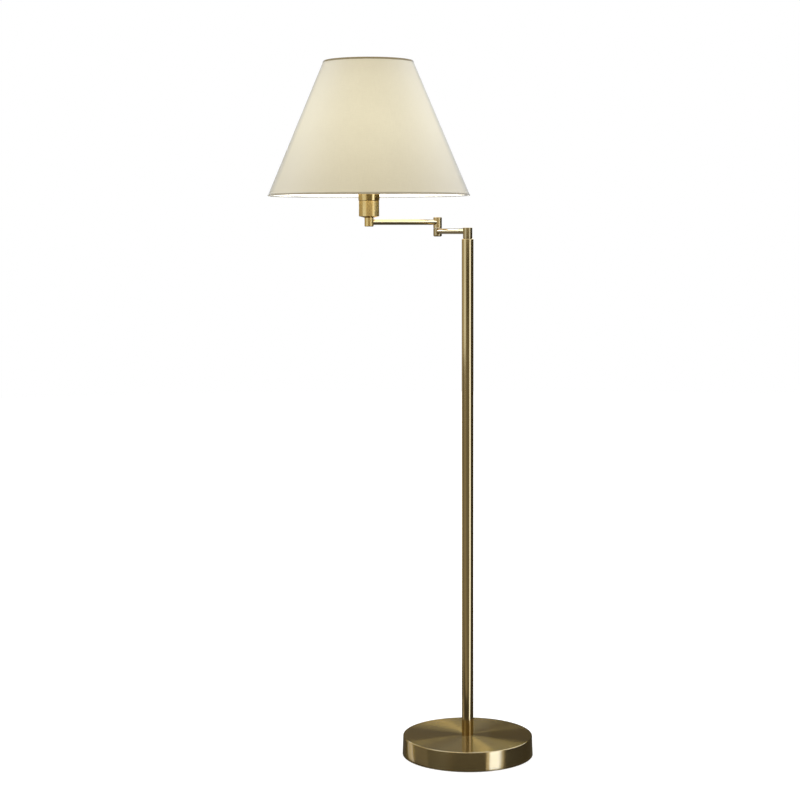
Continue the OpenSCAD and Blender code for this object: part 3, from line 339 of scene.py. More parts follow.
@dataclass(frozen=True)
class Moulding:
    """Plastic, rubber, lacquer or cast iron, with the skin that its mould or spray leaves."""

    colour: Colour
    deep: Colour
    roughness: float
    skin: Skin = Skin.SMOOTH
    coat: float = 0.0

    def make(self, name: str) -> Material:
        """The finish for moulded, coated and cast pieces.

        Args:
            name: The material's name.

        Returns:
            The material.
        """
        scale, depth, strength = self.skin.value
        mix = Recipe(name)
        grain = mix.speckle(mix.place(), scale, 3.0)
        tone = mix.weigh((grain, 0.4), (mix.speckle(mix.place(), 45.0, 4.0), 0.6))
        mix.dress(
            Base_Color=mix.blend(mix.spread(tone, 0.38, 0.62), self.deep, self.colour),
            Roughness=mix.vary(tone, self.roughness - 0.06, self.roughness + 0.08),
            Coat_Weight=self.coat,
            Coat_Roughness=0.1,
            Normal=mix.relief(grain, depth, strength),
        )
        return mix.made


@dataclass(frozen=True)
class LitGlass:
    """Opal glass with the lamp burning behind it."""

    colour: Colour = (0.95, 0.92, 0.85)
    cloudy: Colour = (0.93, 0.9, 0.82)
    light: Colour = (1.0, 0.88, 0.68)
    strength: float = 7.0
    faint: float = 0.12

    def make(self, name: str, low: float, high: float) -> Material:
        """The glass of the bulb, dimmer down its neck.

        Args:
            name: The material's name.
            low: The height at which the glow starts.
            high: The height of its full strength.

        Returns:
            The material.
        """
        mix = Recipe(name)
        cloud = mix.speckle(mix.place(), 90.0, 2.0)
        glow = mix.spread(mix.height(), low, high, self.faint, self.strength)
        mix.dress(
            Base_Color=mix.blend(cloud, self.colour, self.cloudy),
            Roughness=0.18,
            Emission_Color=self.light,
            Emission_Strength=mix.sums("MULTIPLY", glow, mix.spread(cloud, 0.2, 0.8, 0.94, 1.06)),
            Normal=mix.relief(cloud, 0.02 * MM, 0.2),
        )
        return mix.made


@dataclass(frozen=True)
class ShadeCloth:
    """Fine linen-weave cloth, with a painted glow that stands for the bulb's light behind it.

    Its levels say how strong the painted glow is from the foot up, and its painted sheen curve how
    much the painted sheen shows from face on to edge on.
    """

    colour: Colour = (0.55, 0.48, 0.315)
    deep: Colour = (0.495, 0.425, 0.265)
    # The nap colour is the paler colour of a painted sheen
    nap: Colour = (0.67, 0.61, 0.475)
    # The edge colour is painted shade where the cloth is seen edge on
    edge: Colour = (0.43, 0.405, 0.33)
    light: Colour = (1.0, 0.96, 0.69)
    glow: float = 0.22
    pitch: float = 0.55 * MM
    long_thread: tuple[float, float, float] = (60.0, 900.0, 1.0)
    tall_thread: tuple[float, float, float] = (900.0, 45.0, 1.0)
    slack: tuple[float, float] = (0.35, 0.75)
    away: tuple[float, float] = (0.7, 0.93)
    levels: Stops = ((0.0, 0.28), (0.16, 0.42), (0.42, 0.85), (0.6, 1.0), (0.85, 0.7), (1.0, 0.3))
    painted_sheen_curve: Stops = ((0.0, 0.0), (0.1, 0.0), (0.42, 1.0), (0.72, 0.8), (1.0, 0.0))

    def make(self, name: str, foot: float, top: float) -> Material:
        """The cloth, woven along and across its flat cut.

        Args:
            name: The material's name.
            foot: The height of the shade's foot.
            top: The height of its top.

        Returns:
            The material.
        """
        mix = Recipe(name)
        flat = mix.node("UVMap", {}, uv_map="cut").outputs[0]
        across, down, _ = mix.node("SeparateXYZ", {0: flat}).outputs
        count = TURN / self.pitch
        warp, weft = [mix.sums("SINE", mix.sums("MULTIPLY", way, count)) for way in (across, down)]
        weave = mix.spread(mix.sums("MULTIPLY", warp, weft), -1.0, 1.0)
        threads = [
            mix.speckle(mix.node("Mapping", {0: flat, 3: drawn}).outputs[0], 1.0, 2.0)
            for drawn in (self.long_thread, self.tall_thread)
        ]
        slubs = mix.sums("MAXIMUM", *threads)
        tone = mix.weigh((slubs, 0.6), (weave, 0.15), (mix.speckle(mix.place(), 14.0, 4.0), 0.25))
        woven = mix.blend(mix.spread(tone, *self.slack), self.colour, self.deep)
        # A painted sheen: the cloth is painted paler where it is seen along its face
        facing = mix.node("LayerWeight", {"Blend": 0.5}).outputs["Facing"]
        painted_sheen_colour = mix.blend(mix.ramp(facing, self.painted_sheen_curve), woven, self.nap)
        # The painted glow is weaker where the cloth is seen edge on
        through = mix.spread(tone, *self.slack, 1.08, 0.9)
        through = mix.sums("MULTIPLY", through, mix.spread(facing, *self.away, 1.0, 0.4))
        through = mix.sums("MULTIPLY", mix.upward(foot, top, self.levels), through)
        # Where the cloth is seen edge on its colour is painted darker, as painted shade at the outline
        mix.dress(
            Base_Color=mix.blend(mix.spread(facing, *self.away), painted_sheen_colour, self.edge),
            Roughness=0.85,
            Specular_IOR_Level=0.25,
            Sheen_Weight=0.12,
            Sheen_Roughness=0.45,
            Emission_Color=self.light,
            Emission_Strength=mix.sums("MULTIPLY", through, self.glow),
            Normal=mix.relief(mix.sums("ADD", weave, slubs), 0.08 * MM, 0.5),
        )
        return mix.made


@dataclass(frozen=True)
class Lining:
    """White sheet behind the cloth, lit by the bulb and given a painted glow on top. The glow's levels
    run from the foot up.
    """

    colour: Colour = (0.88, 0.86, 0.8)
    deep: Colour = (0.86, 0.835, 0.765)
    light: Colour = (1.0, 0.97, 0.92)
    glow: float = 2.1
    levels: Stops = ((0.0, 0.9), (0.3, 1.0), (0.55, 0.55), (1.0, 0.08))

    def make(self, name: str, foot: float, top: float) -> Material:
        """The lining's finish, with the faint ripple of rolled sheet.

        Args:
            name: The material's name.
            foot: The height of the shade's foot.
            top: The height of its top.

        Returns:
            The material.
        """
        mix = Recipe(name)
        ripple = mix.speckle(mix.place(), 30.0, 2.0)
        mix.dress(
            Base_Color=mix.blend(ripple, self.colour, self.deep),
            Roughness=mix.vary(ripple, 0.42, 0.5),
            Emission_Color=self.light,
            Emission_Strength=mix.sums("MULTIPLY", mix.upward(foot, top, self.levels), self.glow),
            Normal=mix.relief(ripple, 0.05 * MM, 0.3),
        )
        return mix.made


@dataclass(frozen=True)
class Felt:
    """Pressed felt with a short nap."""

    colour: Colour = (0.026, 0.026, 0.028)
    deep: Colour = (0.012, 0.012, 0.013)

    def make(self, name: str) -> Material:
        """The felt's finish.

        Args:
            name: The material's name.

        Returns:
            The material.
        """
        mix = Recipe(name)
        nap = mix.speckle(mix.place(), 1400.0, 5.0)
        mix.dress(
            Base_Color=mix.blend(nap, self.deep, self.colour),
            Roughness=0.95,
            Sheen_Weight=0.6,
            Sheen_Roughness=0.6,
            Normal=mix.relief(nap, 0.2 * MM, 0.8),
        )
        return mix.made


# The pole and the swivels' pale pieces are polished fine. The swivels' other pieces are painted
# darker, as painted shade; the arms are painted paler, as a painted highlight; the cup and its stub
# are painted yellower, as painted warm light from the bulb; and the base is brushed.
TURNED_BRASS = BrushedBrass()
PAINTED_SHADE_BRASS = BrushedBrass((0.24, 0.17, 0.06), (0.17, 0.115, 0.036))
PAINTED_HIGHLIGHT_ARM_BRASS = BrushedBrass((0.5, 0.385, 0.18), (0.4, 0.3, 0.125), lacquer=0.7)
BULB_LIT_HOLDER_BRASS = BrushedBrass((0.37, 0.25, 0.066), (0.27, 0.165, 0.038), roughness=0.19, contrast=0.3)
BASE_BRASS = BrushedBrass(
    (0.31, 0.217, 0.078), (0.222, 0.15, 0.05),
    roughness=0.23, lengthwise=1.0, contrast=0.35, lacquer=0.45, lacquer_roughness=0.05,
)
NYLON = Moulding((0.78, 0.76, 0.69), (0.72, 0.7, 0.62), 0.45, Skin.GRAINED)


# ---- Meshes ----


def heading(angle: float) -> Vector:
    """The level direction at an angle."""
    return Vector((math.cos(angle), math.sin(angle), 0.0))


def circle(reach: float, height: float, steps: int) -> list[Vector]:
    """The points of a level circle round the pole."""
    angles = [TURN * i / steps for i in range(steps)]
    return [Vector((math.cos(a) * reach, math.sin(a) * reach, height)) for a in angles]


def add(name: str, data: bpy.types.ID) -> Object:
    """Adds an object to the scene, with its mesh, camera or light."""
    made = bpy.data.objects.new(name, data)
    bpy.context.scene.collection.objects.link(made)
    return made


def new_mesh(name: str, shape: Shape) -> bpy.types.Mesh:
    """Makes a mesh from points in the frame and faces as lists of point numbers."""
    points, faces = shape
    mesh = bpy.data.meshes.new(name)
    mesh.from_pydata([tuple(p) for p in points], [], faces)
    return mesh


def new_piece(name: str, shape: Shape, body: str) -> Object:
    """Makes a mesh piece that rides on a body.

    Args:
        name: The piece's name.
        shape: Its points and faces.
        body: The body that it rides on.

    Returns:
        The new object, shaded smooth where its faces meet at a flat angle.
    """
    mesh = new_mesh(name, shape)
    mesh.validate()
    work = bmesh.new()
    work.from_mesh(mesh)
    bmesh.ops.recalc_face_normals(work, faces=work.faces)
    work.to_mesh(mesh)
    work.free()
    mesh.shade_smooth()
    mesh.set_sharp_from_angle(angle=math.radians(38))
    piece = add(name, mesh)
    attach(piece, body)
    return piece


def join(lines: Faces) -> list[list[int]]:
    """Joins each line of points to the next one with four-sided faces."""
    pairs = zip(lines, lines[1:])
    return [[a[k], b[k], b[k + 1], a[k + 1]] for a, b in pairs for k in range(len(a) - 1)]


def revolve(outline: Callable[[float], Outline], centre: Vector, turns: int) -> Shape:
    """Turns a closed outline about an upright axis.

    Args:
        outline: Gives the outline of (radius, height) points at an angle, always as many points.
        centre: A point on the axis.
        turns: The number of steps round.

    Returns:
        The points and the faces of the closed ring.
    """
    points: list[Vector] = []
    for step in range(turns):
        angle = TURN * step / turns
        way = heading(angle)
        points += [centre + way * radius + UP * height for radius, height in outline(angle)]
    count = len(points) // turns
    lines = [[step % turns * count + i % count for i in range(count + 1)] for step in range(turns + 1)]
    return points, join(lines)


def lay_flat(piece: Object, spots: Sequence[tuple[float, float]]) -> None:
    """Notes where each point of a cloth piece lay in its flat cut."""
    cut = piece.data.uv_layers.new(name="cut")
    for corner in piece.data.loops:
        cut.data[corner.index].uv = spots[corner.vertex_index]


def dress_nodes(material: Material, *names: str) -> None:
    """Puts a finish on CAD nodes, in their own material slots."""
    for name in names:
        for holder in frame["nodes"][name].material_slots:
            holder.material = material


# ---- The studio ----


@dataclass(frozen=True)
class Card:
    """A curved card round the lamp that only shows in what is polished.

    Attributes:
        name: The card's name.
        start: Where it starts, in degrees to the right of the camera as seen from the pole.
        end: Where it ends.
        low: The height of its lower edge.
        high: The height of its upper edge.
        light: How bright it is, where 1 is white.
        near: How near the pole it runs in over the floor, or 0 for a card that hangs.
        tint: Its colour.
        lean: How many degrees its upper edge is turned on from its lower edge.
    """

    name: str
    start: float
    end: float
    low: float
    high: float
    light: float
    near: float = 0.0
    tint: Colour = WHITE
    lean: float = 0.0


# The soft boxes are cooler than the room, so that they stay white in the brass. SKY is for the
# box that the base's side shows and PALE for the faint ones round its rim.
COOL = (0.8, 0.95, 1.35)
SKY = (0.78, 0.97, 1.6)
PALE = (0.95, 1.0, 1.15)
# About the camera's height. In front, the cards below it are dark and those above it are pale
HORIZON = 1.14
# The upper edge of the tall cards
CEILING = 2.9


@dataclass
class Studio:
    """The camera, the pale floor, the soft lights and the cards."""

    stand: Vector = field(default_factory=lambda: Vector((-0.011, -3.886, 1.137)))
    yaw: float = -1.977
    pitch: float = 5.31
    roll: float = -0.193
    lens: float = 81.81
    card_reach: float = 2.4
    floor_reach: float = 9.0
    fill: float = 0.42
    cards: tuple[Card, ...] = (
        Card("card_front_low", -26, 33, 0.0, 0.85, 0.4, 0.5),
        Card("card_front", -26, 33, 0.85, HORIZON, 0.2),
        Card("card_front_high", -36, 53, HORIZON, CEILING, 1.5),
        Card("card_right_edge", 33, 39, 0.0, HORIZON, 1.5, 0.15),
        Card("card_right_box", 39, 58, 0.0, HORIZON, 4.8, 0.15, SKY),
        Card("card_right_low", 58, 62, 0.0, HORIZON, 3.0, 0.15, SKY),
        Card("card_right_box_high", 53, 84, HORIZON, CEILING, 3.1, 0.0, COOL),
        Card("card_right_fade", 62, 67, 0.0, HORIZON, 1.2, 0.15),
        Card("card_right_dark", 67, 160, 0.0, 1.3, 0.11, 0.15),
        Card("card_right_rear", 160, 178, 0.0, 1.3, 0.17, 0.15),
        Card("card_right_high", 84, 168, 1.3, CEILING, 3.6, 0.0, COOL),
        Card("card_rear_strip", 176.3, 180.3, 1.22, 2.52, 3.9, 0.0, (1.0, 1.05, 1.2), -7.5),
        Card("card_left_box", -76, -36, 0.7, CEILING, 2.4, 0.0, COOL),
        Card("card_left_low", -76, -26, 0.0, 0.7, 0.65, 0.5),
        Card("card_left_far", -117, -76, 0.7, CEILING, 1.1),
        Card("card_left_far_low", -114, -76, 0.0, 0.7, 0.38, 0.15),
        Card("card_rim", -122, -114, 0.0, 0.3, 1.9, 0.15, PALE),
        Card("card_rim_fade", -134, -122, 0.0, 0.3, 1.2, 0.15, PALE),
        Card("card_rear_left", -138, -117, 0.3, CEILING, 0.9),
        Card("card_rear_dark", -182, -138, 0.0, 1.2, 0.25, 0.5),
        Card("card_rear_high", -165, -138, 1.25, 2.1, 4.2, 0.0, COOL),
        Card("card_rear_top", -188, -165, 1.2, CEILING, 0.25),
    )

    def place_camera(self) -> None:
        """Sets the camera where the photograph was taken from."""
        yaw, pitch, roll = (math.radians(a) for a in (self.yaw, self.pitch, self.roll))
        ahead = Vector(
            (math.sin(yaw) * math.cos(pitch), math.cos(yaw) * math.cos(pitch), -math.sin(pitch))
        )
        level = Vector((math.cos(yaw), -math.sin(yaw), 0.0))
        upward = level.cross(ahead)
        right = math.cos(roll) * level + math.sin(roll) * upward
        top = -math.sin(roll) * level + math.cos(roll) * upward
        lens = bpy.data.cameras.new("camera")
        lens.lens = self.lens
        lens.clip_end = 100.0
        camera = add("camera", lens)
        turn = Matrix((right, top, -ahead)).transposed().to_4x4()
        camera.matrix_world = Matrix.Translation(self.stand) @ turn
        bpy.context.scene.camera = camera

    def light_world(self) -> None:
        """Gives a white surround to the camera and to what is polished, and soft fill to the rest."""
        mix = Recipe("surround", world=True)
        mix.dress(Color=WHITE, Strength=mix.spread(mix.shown(), 0.0, 1.0, self.fill, 1.0))
        bpy.context.scene.world = mix.made

    def lay_floor(self) -> None:
        """Lays a pale floor that looks just white and still takes the lamp's shadow."""
        mix = Recipe("floor_pale")
        faint = mix.speckle(mix.place(), 6.0, 3.0)
        away = mix.node("VectorMath", {0: mix.place()}, operation="LENGTH").outputs[1]
        # It glows a little less near the lamp, where the white would drown the shadow
        glow = mix.spread(away, 0.5, 1.8, 0.68, 1.0)
        mix.dress(
            Base_Color=mix.blend(faint, (0.6, 0.6, 0.6), (0.62, 0.62, 0.62)),
            Roughness=0.9,
            Specular_IOR_Level=0.0,
            Emission_Color=WHITE,
            Emission_Strength=mix.sums("MULTIPLY", mix.shown(), glow),
        )
        steps = 96
        points = [POLE_AXIS, *circle(self.floor_reach, 0.0, steps)]
        faces = [[0, i + 1, (i + 1) % steps + 1] for i in range(steps)]
        self.stand_in("floor", (points, faces), mix.made)

    def stand_in(self, name: str, shape: Shape, material: Material) -> Object:
        """Adds an object that belongs to the studio.

        Args:
            name: Its name.
            shape: Its points and faces.
            material: Its material.

        Returns:
            The new object.
        """
        mesh = new_mesh(name, shape)
        mesh.materials.append(material)
        made = add(name, mesh)
        return made

    def hang(self, name: str, shape: Shape, light: float, tint: Colour) -> None:
        """Hangs a plain bright or dark card, hidden from all but reflections.

        Args:
            name: Its name.
            shape: Its points and faces.
            light: How bright it is.
            tint: Its colour.
        """
        mix = Recipe(name)
        black = (0.0, 0.0, 0.0)
        mix.dress(Base_Color=black, Specular_IOR_Level=0.0, Emission_Color=tint, Emission_Strength=light)
        card = self.stand_in(name, shape, mix.made)
        for seen in ("camera", "diffuse", "shadow", "transmission", "volume_scatter"):
            setattr(card, f"visible_{seen}", False)

    def hang_card(self, card: Card) -> None:
        """Sets up one card.

        Args:
            card: The card's place and brightness.
        """
        steps = max(2, round((card.end - card.start) / 4))
        low = max(card.low, 2 * MM)
        # A round base mirrors a direction from the point that faces half as far round
        rims = [(self.card_reach, card.high, 1.0, card.lean), (self.card_reach, low, 1.0, 0.0)]
        if card.near:
            rims.append((card.near, low, 0.5, 0.0))
        points = []
        for i in range(steps + 1):
            for reach, height, share, lean in rims:
                turned = (card.start + (card.end - card.start) * i / steps) * share + lean
                angle = math.radians(turned)
                points.append(Vector((math.sin(angle) * reach, -math.cos(angle) * reach, height)))
        count = len(rims)
        faces = [
            [i * count + k, i * count + k + 1, (i + 1) * count + k + 1, (i + 1) * count + k]
            for i in range(steps)
            for k in range(count - 1)
        ]
        self.hang(card.name, (points, faces), card.light, card.tint)

    def hang_lights(self) -> None:
        """Hangs three broad soft lights, which light the matt surfaces."""
        aim = Vector((0.0, 0.0, 0.8))
        for name, place, side, power in (
            ("light_right", Vector((2.2, -2.3, 2.3)), 1.8, 43.0),
            ("light_left", Vector((-2.6, -2.0, 2.1)), 1.8, 41.0),
            ("light_top", Vector((0.0, 0.3, 3.3)), 2.2, 27.0),
        ):
            lamp = bpy.data.lights.new(name, "AREA")
            lamp.shape = "SQUARE"
            lamp.size = side
            lamp.energy = power
            made = add(name, lamp)
            made.location = place
            made.rotation_euler = (aim - place).to_track_quat("-Z", "Y").to_euler()
            made.visible_glossy = False

    def build(self) -> None:
        """Sets up the whole studio."""
        bpy.context.scene.view_settings.view_transform = "Standard"
        self.place_camera()
        self.light_world()
        self.lay_floor()
        for card in self.cards:
            self.hang_card(card)
        disc = [list(range(48))]
        for name, height, light, tint in (
            ("card_overhead", CEILING, 2.6, COOL), ("card_floor", MM, 0.14, WHITE)
        ):
            self.hang(name, (circle(self.card_reach, height, len(disc[0])), disc), light, tint)
        self.hang_lights()
        log.info("studio: camera, floor, %d cards and 3 lights", len(self.cards) + 2)


# ---- The lamp ----


class Base:
    """The weighted base: cover, iron weight, felt, gland and the fixings of the pole's foot."""

    def build_felt(self) -> Object:
        """Makes the felt pad, with a soft edge and a nap that isn't quite level.

        Returns:
            The pad.
        """
        low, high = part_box("base_felt")
        radius = high.x
        lines = (0.25, 0.5, 0.72, 0.86, 0.93, 0.97)

        def outline(angle: float) -> Outline:
            """The pad's outline at an angle, ragged at its edge by less than half a millimetre."""
            way = heading(angle) * 14
            rim = radius - 0.25 * MM + 0.2 * MM * noise.noise(way * 3)
            under = [(rim * s, low.z + 0.08 * MM * (1 + noise.noise(way * s * 5))) for s in lines]
            edge = [
                (rim - 0.5 * MM, low.z + 0.1 * MM), (rim, low.z + 0.6 * MM),
                (rim, high.z - 0.5 * MM), (rim - 0.4 * MM, high.z - 0.05 * MM),
            ]
            return [(0.4 * MM, low.z + 0.1 * MM), *under, *edge, (0.4 * MM, high.z - 0.02 * MM)]

        pad = new_piece("felt_pad", revolve(outline, POLE_AXIS, 180), "stand")
        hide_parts("base_felt")
        pad.data.materials.append(Felt().make("felt"))
        return pad

    def build(self, steel: Material, plastic: Material, bright: Material) -> None:
        """Makes and dresses the base.

        Args:
            steel: The finish of the fixings.
            plastic: The finish of the gland.
            bright: The finish of the terminal screws.
        """
        self.build_felt()
        dress_nodes(BASE_BRASS.make("brass_base", POLE_AXIS), "base_cover")
        iron = Moulding((0.03, 0.03, 0.032), (0.014, 0.014, 0.015), 0.62, Skin.CAST)
        dress_nodes(iron.make("iron_weight"), "base_weight")
        dress_nodes(NYLON.make("nylon_block"), "terminal_block")
        dress_nodes(plastic, "cord_gland")
        dress_nodes(steel, "foot_washer", "foot_nut", "block_fixing_screw")
        dress_nodes(bright, "terminal_screws")


@dataclass
class ThreadedTube:
    """A hollow stud or nipple with a rolled thread outside."""

    node: str
    body: str
    centre: Vector
    pitch: float = 1.0 * MM
    depth: float = 0.55 * MM
    chamfer: float = 0.8 * MM

    def build(self, bore: float, metal: Material) -> Object:
        """Makes the tube where its CAD node is.

        Args:
            bore: The bore's radius.
            metal: Its finish.

        Returns:
            The tube.
        """
        low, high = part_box(self.node)
        outer = (high.x - low.x) / 2
        steps = round((high.z - low.z) / (self.pitch / 5))

        def outline(angle: float) -> Outline:
            """The wall's section at an angle: the thread outside and the bore inside."""
            side = []
            for i in range(steps + 1):
                height = low.z + (high.z - low.z) * i / steps
                wave = 0.5 - 0.5 * math.cos(TURN * (height / self.pitch) - angle)
                end = min(height - low.z, high.z - height)
                side.append((outer - max(self.depth * wave, self.chamfer - end), height))
            return [*side, (bore, high.z), (bore, low.z)]

        shape = revolve(outline, self.centre, 48)
        tube = new_piece(self.node + "_threaded", shape, self.body)
        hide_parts(self.node)
        tube.data.materials.append(metal)
        return tube


class Pole:
    """The pole: its tube, its foot plug, its turned cap and the lead inside."""

    def build(self, brass: Material, steel: Material, sheath: Material) -> None:
        """Dresses the pole.

        Args:
            brass: The finish of what is turned about the pole's axis.
            steel: The finish of the fixings.
            sheath: The finish of the lead.
        """
        dress_nodes(brass, "pole_tube", "pole_top_cap")
        dress_nodes(steel, "pole_foot_plug")
        dress_nodes(sheath, "pole_lead")
        ThreadedTube("foot_stud", "stand", POLE_AXIS).build(LEAD_BORE, steel)


@dataclass
class Swivel:
    """One upright swivel between the stand and an arm, or between the arms."""

    name: str
    axis: Vector
    pale: Sequence[str]
    dark: Sequence[str]

    def build(self, bright: Material, steel: Material) -> None:
        """Dresses the swivel, with its pale brass nodes and its dark ones in painted shade.

        Args:
            bright: The finish of the ring nut.
            steel: The finish of the pivot, pin and spring washer.
        """
        dress_nodes(TURNED_BRASS.make(f"brass_{self.name}", self.axis), *self.pale)
        dress_nodes(PAINTED_SHADE_BRASS.make(f"painted_shade_brass_{self.name}", self.axis), *self.dark)
        dress_nodes(bright, f"{self.name}_ring_nut")
        dress_nodes(steel, *(f"{self.name}_{part}" for part in ("pivot", "stop_pin", "spring_washer")))


@dataclass
class Arm:
    """One level arm tube with the lead inside it."""

    name: str
    start: Vector
    end: Vector

    def build(self, sheath: Material) -> None:
        """Dresses the arm, brushed round its own length, in paler brass that carries a painted
        highlight.

        Args:
            sheath: The finish of the lead.
        """
        low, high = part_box(f"{self.name}_tube")
        middle = UP * (low.z + high.z) / 2
        way = (self.end - self.start).normalized()
        brass = PAINTED_HIGHLIGHT_ARM_BRASS.make(f"brass_{self.name}", self.start + middle, way)
        dress_nodes(brass, f"{self.name}_tube")
        dress_nodes(sheath, f"{self.name}_lead")


@dataclass
class RolledThread:
    """The round thread that the bulb's cap and its shell share."""

    centre: Vector = field(default_factory=lambda: HOLDER_AXIS.copy())
    pitch: float = 3.63 * MM
    depth: float = 0.95 * MM
    start: float = 1.4 * MM
    length: float = 13.4 * MM
    fade: float = 1.2 * MM
    foot: float = field(default_factory=lambda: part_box("bulb_cap")[0].z)
    wall: float = 0.5 * MM
    bend: float = 0.8 * MM

    def sink(self, height: float, angle: float) -> float:
        """How far the wall is rolled in at a height and an angle."""
        run = height - self.foot - self.start
        ends = min(run, self.length - run) / self.fade
        wave = 0.5 - 0.5 * math.cos(TURN * height / self.pitch - angle)
        return self.depth * wave * max(0.0, min(1.0, ends))

    def build_wall(self, node: str, name: str, floor: float, slot: str, metal: Material) -> Object:
        """Makes a drawn cup of thin sheet with the thread rolled into its wall.

        Args:
            node: The CAD node that it stands for.
            name: The piece's name.
            floor: The radius of the hole in its floor.
            slot: The name of a material slot; not used.
            metal: Its finish.

        Returns:
            The piece.
        """
        low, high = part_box(node)
        outer = (high.x - low.x) / 2
        wall, bend = self.wall, self.bend
        steps = round((high.z - low.z) / (0.36 * MM))

        def outline(angle: float) -> Outline:
            """The sheet's section at an angle: up the outside and down the inside."""
            outside, inside = [(floor, low.z)], []
            for i in range(steps + 1):
                height = low.z + (high.z - low.z) * i / steps
                corner = max(0.0, bend - (height - low.z))
                tuck = bend - math.sqrt(max(0.0, bend**2 - corner**2))
                sink = self.sink(height, angle) + tuck
                outside.append((outer - sink, height))
                inside.append((outer - wall - sink, max(height, low.z + wall)))
            return [*outside, *reversed(inside), (floor, low.z + wall)]

        piece = new_piece(name, revolve(outline, self.centre, 120), "upper_arm")
        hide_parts(node)
        piece.data.materials.append(metal)
        return piece


@dataclass
class Lampholder:
    """The stub, the spun cup, the screw lampholder and the shade ring."""

    thread: RolledThread = field(default_factory=RolledThread)

    def build(self, brass: Material, bright: Material, steel: Material, plastic: Material) -> None:
        """Makes and dresses the lampholder.

        Args:
            brass: The finish of what is turned about the holder's axis, painted yellower as painted warm
                light from the bulb.
            bright: The finish of the contacts and screws.
            steel: The finish of the nut and nipple.
            plastic: The finish of the insulating pieces.
        """
        dress_nodes(brass, "holder_stub", "stub_bottom_cap", "holder_cup")
        dress_nodes(steel, "holder_nut")
        dress_nodes(plastic, "lampholder_core", "lampholder_sleeve", "shade_ring")
        dress_nodes(bright, "holder_screws", "middle_contact")
        ThreadedTube("holder_nipple", "upper_arm", HOLDER_AXIS).build(LEAD_BORE, steel)
        self.thread.build_wall("screw_shell", "shell_rolled", 8.5 * MM, "bright_brass", bright)


@dataclass
class Bulb:
    """The lit screw bulb."""

    thread: RolledThread = field(default_factory=RolledThread)
    neck: float = 33 * MM

    def build(self) -> None:
        """Makes and dresses the bulb."""
        thin = PlainMetal((0.62, 0.62, 0.6), (0.45, 0.45, 0.44), 0.3).make("bulb_sheet")
        self.thread.build_wall("bulb_cap", "cap_rolled", 6.75 * MM, "bulb_metal", thin)
        dress_nodes(thin, "bulb_tip")
        glass = Moulding((0.012, 0.012, 0.015), (0.008, 0.008, 0.009), 0.1, coat=0.5)
        dress_nodes(glass.make("insulator_glass"), "bulb_insulator")
        cap_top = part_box("bulb_cap")[1].z
        dress_nodes(LitGlass().make("opal_glass", cap_top, cap_top + self.neck), "bulb_glass")


